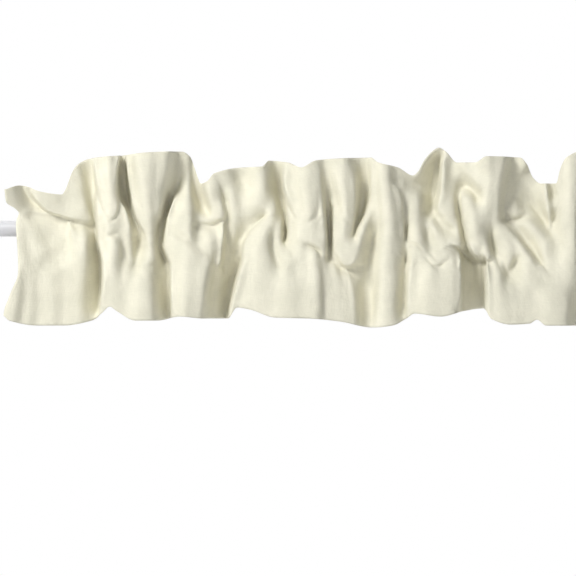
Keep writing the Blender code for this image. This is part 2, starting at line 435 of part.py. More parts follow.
def sheet_depth(across, out, up):
    """How deep the sheet is from front to back, so that it stays about as thick where it turns away."""
    slope_across = np.gradient(out, axis=1) / np.gradient(across, axis=1)
    slope_up = np.gradient(out, axis=0) / np.gradient(up, axis=0)
    steepness = np.sqrt(1 + slope_across**2 + slope_up**2)
    return CLOTH_THICKNESS * np.minimum(steepness, STEEPEST)


def placed(across, out, up):
    """Places in metres, measured from the centre of the rod's left end."""
    return np.stack([across + TABLE_ZERO, -out, up], axis=-1) * MM


def back_section(folds, across, low, high):
    """The back ply from stitch to stitch, as out and up: up behind the rod, over it, and forward again."""
    puff = BACK_PUFF * outwards(across + BACK_SHIFT, np.full(len(across), BACK_MIDDLE), folds)
    rows = [low]
    for place in BACK_PLACES:
        behind = place.behind + place.puff * puff
        out = low[0] * place.low_share + high[0] * place.high_share - behind
        rows.append((out, np.full(len(across), place.up)))
    rows.append(high)
    return np.array([row[0] for row in rows]), np.array([row[1] for row in rows])


def across_section(out, up):
    """The direction that points out of the back ply, within each upright section of it."""
    run_out, run_up = np.gradient(out, axis=0), np.gradient(up, axis=0)
    size = np.hypot(run_out, run_up)
    return -run_up / size, run_out / size


def thin_sheet(front, back):
    """A closed sheet between two grids of places, which also keeps each vertex's row and its side."""
    mesh = bmesh.new()
    row_of = mesh.verts.layers.int.new("row")
    side_of = mesh.verts.layers.int.new("side")
    place_of = mesh.verts.layers.int.new("place")
    rows, columns = front.shape[:2]
    bmesh.ops.create_grid(mesh, x_segments=columns - 1, y_segments=rows - 1, size=1)
    for vertex in mesh.verts:
        column = round((vertex.co.x + 1) / 2 * (columns - 1))
        row = round((vertex.co.y + 1) / 2 * (rows - 1))
        vertex[row_of] = row
        vertex[place_of] = column
        vertex.co = front[row, column]
    bmesh.ops.triangulate(mesh, faces=mesh.faces, quad_method="SHORT_EDGE")
    grown = bmesh.ops.extrude_face_region(mesh, geom=mesh.faces, use_keep_orig=True)
    for vertex in (part for part in grown["geom"] if isinstance(part, bmesh.types.BMVert)):
        vertex[side_of] = 1
        vertex.co = back[vertex[row_of], vertex[place_of]]
    return mesh


def open_strip(mesh, rows, sides):
    """Removes the faces whose corners all lie on the given rows and the given sides of a sheet."""
    row_of, side_of = mesh.verts.layers.int["row"], mesh.verts.layers.int["side"]
    strip = [
        face
        for face in mesh.faces
        if all(vertex[row_of] in rows and vertex[side_of] in sides for vertex in face.verts)
    ]
    bmesh.ops.delete(mesh, geom=strip, context="FACES_ONLY")


def build_cloth(collection, material):
    folds = HEADING_FOLDS + POCKET_FOLDS + SKIRT_FOLDS
    across, out, up, depth = front_places(folds)
    front, back = placed(across, out, up), placed(across, out - depth, up)
    stitches = [number for number, row in enumerate(ROWS) if row.share == 1.0][:2]
    low, high = stitches
    full = thin_sheet(front, back)
    open_strip(full, (low, low + 1), (1,))
    open_strip(full, (high, high + 1), (1,))

    low_inside = (out[low + 1] - depth[low + 1], up[low + 1])
    high_inside = (out[high] - depth[high], up[high])
    inner_out, inner_up = back_section(folds, (across[low] + across[high]) / 2, low_inside, high_inside)
    rows = len(inner_out)
    share = np.linspace(0, 1, rows)[:, None]
    inner_across = across[low + 1] * (1 - share) + across[high] * share
    toward_out, toward_up = across_section(inner_out, inner_up)
    outer_out = inner_out + CLOTH_THICKNESS * toward_out
    outer_up = inner_up + CLOTH_THICKNESS * toward_up
    inner = placed(inner_across, inner_out, inner_up)
    outer = placed(inner_across, outer_out, outer_up)
    outer[0], outer[-1] = back[low], back[high + 1]
    ply = thin_sheet(inner, outer)
    open_strip(ply, (0,), (0, 1))
    open_strip(ply, (rows - 1,), (0, 1))

    joined = bpy.data.meshes.new("valance")
    ply.to_mesh(joined)
    full.from_mesh(joined)
    bmesh.ops.remove_doubles(full, verts=full.verts, dist=MERGE_DISTANCE)
    bmesh.ops.recalc_face_normals(full, faces=full.faces)
    full.to_mesh(joined)
    full.free()
    ply.free()
    joined.materials.append(material)
    cloth = bpy.data.objects.new("valance", joined)
    collection.objects.link(cloth)
    return cloth


def build_rod(collection, material):
    mesh = bmesh.new()
    turned = Matrix.Translation((ROD_LENGTH * MM / 2, 0, 0)) @ Matrix.Rotation(math.pi / 2, 4, "Y")
    bmesh.ops.create_cone(
        mesh,
        cap_ends=True,
        segments=ROD_SIDES,
        radius1=ROD_RADIUS * MM,
        radius2=ROD_RADIUS * MM,
        depth=ROD_LENGTH * MM,
        matrix=turned,
    )
    rims = [edge for edge in mesh.edges if abs(edge.verts[0].co.x - edge.verts[1].co.x) < MERGE_DISTANCE]
    bmesh.ops.bevel(mesh, geom=rims, offset=ROD_BEVEL * MM, segments=2, profile=0.5, affect="EDGES")
    data = bpy.data.meshes.new("rod")
    mesh.to_mesh(data)
    mesh.free()
    data.materials.append(material)
    rod = bpy.data.objects.new("rod", data)
    collection.objects.link(rod)
    return rod


def plain_material(name, colour, roughness, metallic):
    material = bpy.data.materials.new(name)
    material.use_nodes = True
    shader = material.node_tree.nodes["Principled BSDF"]
    shader.inputs["Base Color"].default_value = (*colour, 1)
    shader.inputs["Roughness"].default_value = roughness
    shader.inputs["Metallic"].default_value = metallic
    return material


def clear_scene():
    for thing in list(bpy.data.objects):
        bpy.data.objects.remove(thing, do_unlink=True)


def build():
    clear_scene()
    collection = bpy.data.collections.new("window valance")
    bpy.context.scene.collection.children.link(collection)
    cotton = plain_material("cream cotton", COTTON_COLOUR, 0.9, 0.0)
    enamel = plain_material("pale enamelled steel", ENAMEL_COLOUR, 0.4, 0.0)
    build_cloth(collection, cotton)
    build_rod(collection, enamel)


build()
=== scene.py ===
import math
from collections import namedtuple

import bmesh
import bpy
import numpy as np
from mathutils import Matrix, Vector


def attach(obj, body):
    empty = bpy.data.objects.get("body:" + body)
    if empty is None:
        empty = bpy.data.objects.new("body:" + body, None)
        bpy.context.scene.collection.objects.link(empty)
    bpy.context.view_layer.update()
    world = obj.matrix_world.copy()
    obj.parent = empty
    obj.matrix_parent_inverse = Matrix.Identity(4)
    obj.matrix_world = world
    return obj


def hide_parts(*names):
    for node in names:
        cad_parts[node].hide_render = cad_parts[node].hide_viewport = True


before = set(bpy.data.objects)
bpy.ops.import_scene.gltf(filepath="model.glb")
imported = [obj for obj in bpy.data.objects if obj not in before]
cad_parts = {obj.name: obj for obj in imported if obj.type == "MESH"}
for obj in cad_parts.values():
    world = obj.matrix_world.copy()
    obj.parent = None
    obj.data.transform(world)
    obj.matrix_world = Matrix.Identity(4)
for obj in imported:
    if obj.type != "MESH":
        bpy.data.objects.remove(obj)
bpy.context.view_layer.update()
MM = 0.001

# The rod: a thin steel tube, 16 mm across, enamelled a pale grey, with closed ends. It goes through the
# pocket of the cloth and carries it, and only a short bare length shows at each end.
ROD_LENGTH = 711.0
ROD_RADIUS = 8.0
ROD_BEVEL = 0.8
ROD_SIDES = 96


def enamel_material():
    """Pale grey enamel, with a slight unevenness of its gloss and colour."""
    material = bpy.data.materials.new("pale grey enamel")
    material.use_nodes = True
    nodes, links = material.node_tree.nodes, material.node_tree.links
    shader = nodes["Principled BSDF"]
    place = nodes.new("ShaderNodeTexCoord")
    stretch = nodes.new("ShaderNodeMapping")
    stretch.inputs["Scale"].default_value = (12, 260, 260)
    streaks = nodes.new("ShaderNodeTexNoise")
    streaks.inputs["Scale"].default_value = 1.0
    streaks.inputs["Detail"].default_value = 4.0
    tint = nodes.new("ShaderNodeMix")
    tint.data_type = "RGBA"
    tint.inputs["A"].default_value = (0.5, 0.5, 0.52, 1)
    tint.inputs["B"].default_value = (0.58, 0.58, 0.6, 1)
    bump = nodes.new("ShaderNodeBump")
    bump.inputs["Strength"].default_value = 0.08
    bump.inputs["Distance"].default_value = 0.0004
    links.new(place.outputs["Object"], stretch.inputs["Vector"])
    links.new(stretch.outputs["Vector"], streaks.inputs["Vector"])
    links.new(streaks.outputs["Fac"], tint.inputs["Factor"])
    links.new(tint.outputs["Result"], shader.inputs["Base Color"])
    links.new(streaks.outputs["Fac"], bump.inputs["Height"])
    links.new(bump.outputs["Normal"], shader.inputs["Normal"])
    shader.inputs["Roughness"].default_value = 0.38
    return material


def make_rod():
    mesh = bmesh.new()
    turned = Matrix.Translation((ROD_LENGTH * MM / 2, 0, 0)) @ Matrix.Rotation(math.pi / 2, 4, "Y")
    bmesh.ops.create_cone(
        mesh,
        cap_ends=True,
        segments=ROD_SIDES,
        radius1=ROD_RADIUS * MM,
        radius2=ROD_RADIUS * MM,
        depth=ROD_LENGTH * MM,
        matrix=turned,
    )
    rims = [edge for edge in mesh.edges if abs(edge.verts[0].co.x - edge.verts[1].co.x) < 0.00001]
    bmesh.ops.bevel(mesh, geom=rims, offset=ROD_BEVEL * MM, segments=4, profile=0.5, affect="EDGES", material=-1)
    for face in mesh.faces:
        face.smooth = len(face.verts) == 4
    data = bpy.data.meshes.new("curtain_rod")
    mesh.to_mesh(data)
    mesh.free()
    data.materials.append(enamel_material())
    rod = bpy.data.objects.new("curtain_rod", data)
    bpy.context.scene.collection.objects.link(rod)
    return rod


curtain_rod = make_rod()
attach(curtain_rod, "root")
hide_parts("rod")

# The cloth: one length of unbleached cream cotton, folded double and joined from panels, gathered on
# the rod. Two rows of stitching make the pocket for the rod, with the ruffled heading above them and
# the ruffled skirt below.
TABLE_ZERO = 13.0
PLY_DEPTH = 1.2
STEEPEST = 2.4
ROD_CLEARANCE = 0.3
CHORD_ALLOWANCE = 0.3
STITCH_WIDTH = 1.0
FOLD_DEPTH = 1.6
REACH = 34.0
UPRIGHT_STRETCH = 0.62
CURVE_STEPS = 6
FINE_STEPS = 900
IN_AND_OUT_WEIGHT = 0.9
ROW_SMOOTHING = 6
SOFTENING = 2
COLUMNS = 470
SKIRT_ROWS = 26
POCKET_ROWS = 23
HEADING_ROWS = 28
BACK_ROWS = 20
THREAD_STEP_ACROSS = 2.2
THREAD_STEP_UP = 2.1

# The back ply between the two stitch rows, from below to above. Its distance behind the rod's axis is its own
# figure, plus some of its own puffing out, less a share of how far out the cloth stands at each stitch row.
BackPlace = namedtuple("BackPlace", "up behind puff low_share high_share")
BACK_PLACES = [
    BackPlace(-24.5, 3.0, 0.7, 0.35, 0.0),
    BackPlace(-9.0, 10.0, 1.0, 0.0, 0.0),
    BackPlace(3.0, 11.0, 0.7, 0.0, 0.0),
    BackPlace(8.5, 7.2, 0.2, 0.0, 0.0),
    BackPlace(8.4, -0.5, 0.0, 0.0, 0.0),
]
BACK_PUFF = 0.28
BACK_SHIFT = 7.0
BACK_MIDDLE = -14.0

# A fold line runs down the cloth through three places. Each place is (across, up, out) in millimetres:
# across from the photo's left side, up from the rod's axis, and out from the rod's axis towards the
# front, times FOLD_DEPTH. Left and right say how strongly it pulls the cloth on each side of it, seen
# as it runs from head to foot. A weak side makes a crisp edge there. Round is the radius over which it
# is rounded off.
Fold = namedtuple("Fold", "name head middle foot left right round", defaults=[1.0, 1.0, 1.4])

HEADING_FOLDS = [
    Fold("flap edge", (7, 40, 29), (14, 29, 25), (20, 15, 18.5)),
    Fold("flap inside", (26, 41, 12.5), (34, 28, 11), (43, 19, 12), 0.9, 0.4),
    Fold("flap crest", (29, 42, 17.5), (37, 30, 18), (45, 20, 18), 0.4, 1.0),
    Fold("flap lip", (45, 19, 16.5), (62, 12.5, 15.5), (90, 6.5, 12.5), 0.3, 1.0),
    Fold("under the lip", (32, 14, 12), (56, 9.5, 9), (91, 2.5, 5), 0.7, 0.4),
    Fold("flap top", (36, 39, 19), (50, 36, 19), (64, 35, 16), 1.0, 1.0, round=4.0),
    Fold("first lobe slope", (70, 54, 16), (77, 38, 16), (83, 20, 16), 1.3, 1.3, round=4.0),
    Fold("first lobe valley", (89, 66, 9), (90, 44, 6), (91.5, 22, 6), 0.4, 1.0),
    Fold("beside first finger", (92.5, 64, 8), (94, 44, 6), (98, 31, 12), 1.0, 0.4),
    Fold("first finger edge", (95, 66, 22), (98, 44, 23), (105, 22, 22), 0.4, 1.0),
    Fold("first finger", (111, 71, 28), (111, 46, 31), (112, 20, 27), round=4.0),
    Fold("first finger right edge", (119.5, 69, 27), (117, 48, 28), (118.5, 21, 24), 1.0, 0.4),
    Fold("dark slot left", (121.5, 69, 10), (119, 47, 7), (121.5, 28, 8), 0.4, 1.0),
    Fold("dark slot", (123, 72, 8), (124, 50, 5), (127, 31, 5), 1.1, 1.1),
    Fold("slot tail", (127, 33, 4), (133, 14, 7), (143, -6, 11), 0.8, 0.4),
    Fold("funnel edge", (126, 71, 20), (131, 34, 22), (138, 10, 22), 0.4, 1.0),
    Fold("funnel edge foot", (138, 10, 22), (143, 0, 23), (148, -10, 22), 0.4, 1.0),
    Fold("funnel", (139, 75, 27), (145, 36, 28), (152, -12, 25), 1.7, 1.7, round=6.0),
    Fold("funnel shoulder", (158, 76, 25), (158, 50, 24), (156, 20, 23), 0.5, 0.9),
    Fold("third valley", (187, 76, 11), (181, 54, 6), (170, 28, 3), 0.4, 1.1),
    Fold("third valley foot", (170, 28, 2), (163.5, 8, 5), (161, -10, 7), 0.5, 0.6),
    Fold("lobe corner", (189.5, 73, 10), (189, 55, 10), (186, 38, 14), 0.7, 0.4),
    Fold("back ply showing", (191.5, 71, 4), (191, 56, 5), (196, 46, 6), 0.4, 0.8),
    Fold("fourth valley", (195, 40, 3), (200, 27, 3), (207, 17, 8)),
    Fold("small bulge", (206, 50, 20), (212, 32, 20.5), (212, 12, 18.5), 1.0, 1.0, round=4.0),
    Fold("small bulge edge", (220, 30, 17), (223, 21, 19), (223.5, 12, 19), 1.0, 0.4),
    Fold("bulge lip", (200, 8, 15), (212, 8.5, 17), (223, 13, 18), 0.3, 1.0),
    Fold("under the bulge", (200, 4.5, 13), (213, 5, 13), (223, 9, 13), 1.0, 0.3),
    Fold("shallow valley", (243, 60, 10), (242, 46, 9), (240, 33, 12), 1.1, 1.1, round=6.0),
    Fold("before the shallow valley", (222, 57, 17), (224, 46, 17), (226, 34, 18), 0.8, 0.8, round=5.0),
    Fold("fifth lobe", (262, 66, 18), (262, 45, 19), (261, 24, 20), round=5.0),
    Fold("knob valley", (275, 67, 6), (279, 44, 1), (282, 26, 2), 0.9, 0.7),
    Fold("knob valley foot", (282, 26, 2), (285.5, 8, 5), (286, -8, 9), 0.7, 0.4),
    Fold("knob edge", (287, 60, 17), (284.5, 44, 20), (290, 26, 22), 0.4, 1.0),
    Fold("knob edge foot", (290, 27, 21), (294, 18, 23), (298, 9, 25), 0.6, 0.8),
    Fold("knob", (308, 62, 23), (309, 32, 29), (311, 8, 28), 1.2, 1.2, round=4.0),
    Fold("knob right", (318, 60, 22), (320.5, 32, 27), (324, 8, 27), 1.0, 0.4),
    Fold("sixth valley", (324, 62, 17), (326, 40, 15), (330, 20, 11), 0.5, 1.0),
    Fold("long band", (334, 66, 20), (345, 36, 26), (344, -6, 26), round=4.0),
    Fold("long band right edge", (352, 46, 22), (353.5, 22, 23), (350, -6, 22), 1.0, 0.7),
    Fold("seventh valley", (365, 66, 9), (364.5, 42, 6), (361, 16, 8), 1.1, 1.1, round=2.5),
    Fold("seventh valley foot", (360, 16, 8), (355, 3, 11), (353, -8, 15), 0.4, 0.6),
    Fold("eighth lobe edge", (372.5, 66, 17), (372.5, 36, 19), (375, 14, 19), 0.5, 0.8),
    Fold("eighth lobe", (382, 63, 21), (386, 36, 27), (390, -4, 28), 1.3, 1.3, round=4.0),
    Fold("eighth right edge", (398, 36, 23), (402.5, 16, 23), (403.5, -24, 22.5), 1.0, 0.4),
    Fold("ninth pinch head", (402, 46, 17), (404, 24, 15), (406, 0, 12.5), 0.4, 0.7),
    Fold("saddle top", (400, 58, 15), (412, 52, 13), (419, 55, 13), 0.8, 0.8),
    Fold("saddle shade", (398, 52, 15), (414, 46, 9), (430, 44, 2), 0.9, 0.9),
    Fold("peak rim", (423, 64, 12), (430, 74, 13), (438, 79, 13), 0.7, 0.7),
    Fold("peak shade", (426, 56, 5), (433, 64, 2), (438, 71, 2), 0.6, 0.6),
    Fold("peak valley", (438, 64, -1), (436.5, 40, -3), (434, 24, 0), 1.1, 0.5),
    Fold("peak valley foot", (434, 22, 5), (440, 8, 10), (452, -1, 13), 0.8, 0.4),
    Fold("peak edge", (443, 66, 16), (441, 40, 18), (438, 23, 19), 0.4, 1.0),
    Fold("peak edge foot", (438, 22, 16.5), (444, 11, 17.5), (456, 1, 17.5), 0.4, 1.0),
    Fold("peak right", (452, 66, 10), (453, 40, 14), (451, 22, 18.5), 1.0, 1.0, round=4.0),
    Fold("ninth arch", (460, 38, 8), (464, 42.5, 7), (477, 33, 12), 0.8, 0.8),
    Fold("ninth top", (466, 64, 18), (474, 55, 20), (481, 50, 22)),
    Fold("ninth crest", (483, 68, 27), (485, 44, 28), (484, 12, 25), 1.1, 1.1, round=7.0),
    Fold("ninth crest shoulder", (497, 68, 24), (496, 44, 24), (495, 12, 22), 0.5, 0.9),
    Fold("tenth edge", (518, 62, 12), (511, 44, 11), (506.5, 22, 13), 0.8, 0.4),
    Fold("tenth curl", (524, 68, 16), (525, 64, 16), (522, 60, 14), 0.5, 0.5),
    Fold("far panel", (527, 58, 9), (515.5, 42, 9), (511, 28, 9), 0.4, 0.9),
    Fold("far panel face", (538, 50, 8), (544, 44, 8), (550, 36, 8), round=4.0),
    Fold("far panel shade", (523, 28, 7), (534, 22, 6), (548, 6, 8), 0.9, 0.9),
    Fold("small facet", (512, 28, 12), (514, 20, 14), (516, 15, 15), 0.7, 0.7),
    Fold("small facet crease", (505, 10.5, 9), (515, 9.5, 9), (528, 15, 9), 0.5, 0.5),
    Fold("small finger", (545, 46, 18), (547, 28, 20), (550, 2, 19), 0.8, 0.8),
    Fold("small finger notch", (528, 24, 10), (540, 12, 9), (551, -2, 9), 0.5, 0.5),
    Fold("beside small finger", (556, 15, 13), (554, 8, 11), (551, -2, 9), 0.6, 0.5),
    Fold("eleventh lobe edge", (560, 66, 17), (559.5, 40, 19), (561, 10, 21), 0.4, 1.0),
    Fold("eleventh lobe", (571, 74, 20), (570, 40, 24), (566, 4, 25), 1.2, 1.2, round=4.0),
    Fold("twelfth valley", (596, 74, 5), (596, 42, 1), (595, 14, 4)),
    Fold("thirteenth edge", (600, 72, 19), (600, 40, 22), (599, 12, 20), 0.4, 1.0),
    Fold("thirteenth lobe", (612, 67, 23), (613, 40, 26), (610, 12, 23), 1.2, 1.2, round=4.0),
    Fold("fourteenth valley", (631, 62, 6), (633, 38, 2), (632, 14, 5)),
    Fold("end lobe", (648, 66, 16), (647, 42, 20), (645, 14, 17), round=4.0),
]

POCKET_FOLDS = [
    Fold("end over the rod", (17, 9, 18), (17, -12, 21), (18, -32, 23)),
    Fold("end panel top", (19, 11, 18), (36, 9.5, 15.5), (52, 4, 12.5), 0.8, 0.8, round=4.0),
    Fold("end panel", (28, 4, 18), (31, -12, 18.5), (36, -30, 20), 1.0, 1.0, round=4.0),
    Fold("beside facet", (64, 4, 11), (67, -7, 12), (68, -20, 15), 0.7, 0.4),
    Fold("facet edge", (68.5, 6, 15), (72, -5, 17), (74, -20, 19), 0.3, 0.8),
    Fold("diagonal shade", (64, -16, 15), (54, -28, 16), (44, -38, 17), 0.5, 0.5, round=5.0),
    Fold("facet", (80, 6, 18), (84, -8, 21), (82, -26, 21), round=4.0),
    Fold("first pinch", (92.5, 28, 4), (94.5, 8, 3), (96.5, -16, 1), 0.6, 0.4),
    Fold("knot edge", (96.5, 28, 19), (98, 8, 20), (100, -16, 19), 0.4, 1.0),
    Fold("knot", (104, 22, 24), (108, 8, 26), (109, -3, 25), round=4.0),
    Fold("knot right edge", (120, 29, 21), (129, 10, 23), (130, -10, 21), 1.0, 0.4),
    Fold("knot right foot", (130, -10, 21), (130, -22, 20), (127, -36, 21), 0.8, 0.5),
    Fold("arch shade", (113, -7, 21), (121, -9, 18), (126, -28, 17), 0.6, 0.6),
    Fold("second finger tip", (108, -16, 25), (114, -11, 27), (119, -16, 26), 0.8, 0.8),
    Fold("second pinch", (138, -10, 8), (138, -24, 12), (136, -36, 18), 0.8, 0.8),
    Fold("third pinch", (159.5, 2, 5), (158.5, -14, 6), (166, -32, 3), 0.5, 0.4),
    Fold("fourth edge", (174, 31, 19), (166.5, 0, 21), (169, -30, 22), 0.4, 1.0),
    Fold("fourth panel", (182, 22, 21), (177, -4, 24), (178, -32, 26), round=4.0),
    Fold("fourth crest", (189, 36, 21), (189, -8, 27), (187, -36, 29), round=4.0),
    Fold("cheek", (204, -2, 21), (210, -14, 24), (206, -28, 25), round=4.0),
    Fold("cheek edge", (223.5, 3, 21), (223, -14, 22), (220, -36, 21), 0.7, 0.35),
    Fold("fifth pinch", (223, 31, 10), (227, 4, 10), (223, -38, 6), 0.4, 0.9),
    Fold("leaf", (231, 30, 18), (233, 6, 16), (231, -20, 8), 1.0, 1.0, round=4.0),
    Fold("leaf shade", (264, 11, 13), (246, -6, 9), (238, -22, 5), 0.9, 0.4),
    Fold("sixth edge", (267, 10, 18), (248, -8, 23), (244, -32, 27), 0.4, 1.0),
    Fold("sixth panel", (274, 20, 19), (262, -12, 27), (260, -36, 29), 1.2, 1.2, round=4.0),
    Fold("loop valley", (276, 2, 19), (274, -14, 19), (279, -36, 24), 0.5, 0.5),
    Fold("loop ridge", (281, 6, 19), (280, -14, 22), (285, -32, 25), 0.5, 0.5),
    Fold("knob left arm", (288, 19, 17), (289, 4, 19), (289, -14, 20), 0.4, 0.9),
    Fold("knob band", (303, 0, 26), (301, -14, 27), (297, -30, 27), round=4.0),
    Fold("knob right foot", (322, 8, 24), (325.5, -12, 26), (322, -30, 24), 1.0, 0.35),
    Fold("knob lip", (306, -13, 26), (316, -15, 26), (325, -24, 24.5), 0.4, 0.8),
    Fold("under the knob lip", (307, -17, 22), (315, -18.5, 22), (321, -24, 21), 0.6, 0.3),
    Fold("seventh pinch", (328, 20, 11), (330, -6, 9), (329, -28, 10), 0.5, 0.4),
    Fold("long band edge", (330, 26, 19), (335, 4, 22), (334, -22, 22), 0.4, 1.0),
    Fold("long band foot", (337, -24, 24), (346, -33, 25), (355, -31, 23), 0.3, 0.9),
    Fold("under the long band", (334, -31, 17), (346, -42, 16), (360, -36, 14), 0.8, 0.3),
    Fold("slanting ridge", (369, 15, 21), (361, -6, 25), (354, -30, 25), 0.9, 0.9),
    Fold("slanting shade", (378, 2, 17), (373, -14, 12), (369, -32, 11), 0.8, 0.6),
    Fold("eighth panel", (390, -6, 27), (389, -22, 27), (386, -38, 27), 1.2, 1.2, round=4.0),
    Fold("ninth pinch", (406, 0, 11), (405.5, -14, 10), (405, -30, 11), 0.4, 0.4),
    Fold("ninth panel edge", (408.5, 28, 16), (408, 8, 19), (408, -20, 20), 0.4, 1.0),
    Fold("ninth panel", (416, 30, 17), (415, 6, 22), (413, -18, 24), round=4.0),
    Fold("ninth panel drape", (428, -2, 15), (429, -14, 15), (430, -26, 19), 0.6, 0.6),
    Fold("ninth panel front", (433, 4, 19), (440, -14, 22), (440, -30, 26), 0.9, 0.9, round=4.0),
    Fold("first pouch lip", (411, -19, 25), (418, -15.5, 25), (424, -20, 24), 0.4, 0.8),
    Fold("second pouch lip", (427, -29, 25), (437, -33.5, 26), (447, -29, 25), 0.4, 0.8),
    Fold("third pouch lip", (447, -28, 25), (452, -19, 24), (460, -18, 22), 0.4, 0.8),
    Fold("ninth panel right", (446, 6, 20), (454, -6, 21), (462, -16, 20), 0.8, 0.8, round=4.0),
    Fold("tenth pinch", (458, 30, 7), (461, 10, 7), (465.5, -14, 8), 0.5, 0.4),
    Fold("tongue edge", (462, 30, 19), (466, 6, 22), (472, -18, 22), 0.4, 1.0),
    Fold("tongue", (470, 30, 23), (473, 4, 27), (478, -26, 26), 1.2, 1.2, round=4.0),
    Fold("tongue tip", (470, -18, 24), (478, -29, 25), (485, -27, 25), 0.3, 0.9),
    Fold("under the tongue", (460, -21, 5), (474, -31, 2), (485, -32, 2), 1.0, 0.3),
    Fold("twelfth crest", (489, -6, 22), (484, -20, 25), (483, -30, 26), round=4.0),
    Fold("eye shade", (491, -4, 14), (492, -16, 13), (498, -32, 17), 0.6, 0.6),
    Fold("eleventh rib edge", (499, 0, 20), (500, -24, 21), (505, -42, 22), 0.4, 0.9),
    Fold("eleventh rib", (504, -4, 23), (508, -20, 24), (510, -36, 23), 0.8, 0.8, round=4.0),
    Fold("forked crease", (506, -40, 18), (510, -47, 16), (516, -33, 18), 0.5, 0.5),
    Fold("slanting fold edge", (508, 0, 20), (520, -14, 23), (535, -36, 26), 0.9, 0.4),
    Fold("slanting fold shade", (511, 3, 11), (524, -11, 12), (539, -33, 15), 0.4, 0.9),
    Fold("slanting fold", (514, 11, 17), (532, 2, 21), (546, -12, 22), 0.9, 0.9, round=4.0),
    Fold("twelfth ridge", (552, -2, 20), (546, -20, 24), (540, -40, 27), round=4.0),
    Fold("thirteenth panel", (572, 4, 25), (573, -20, 27.5), (573, -40, 29), 1.2, 1.2, round=4.0),
    Fold("thirteenth shade", (583, 8, 18), (583, -12, 17), (583, -32, 18), 0.8, 0.8),
    Fold("fourteenth pinch", (595, 12, 6), (593, -10, 6), (593, -34, 5), 0.9, 0.4),
    Fold("fourteenth edge", (599, 12, 19), (596.5, -10, 21), (596.5, -34, 22), 0.4, 1.0),
    Fold("fifteenth panel", (610, 10, 22), (611, -12, 25), (613, -34, 26), 1.3, 1.3, round=4.0),
    Fold("fifteenth pinch", (632, 12, 7), (631, -12, 7), (630, -32, 7)),
    Fold("far end", (648, 8, 14), (650, -12, 16), (650, -34, 17)),
]

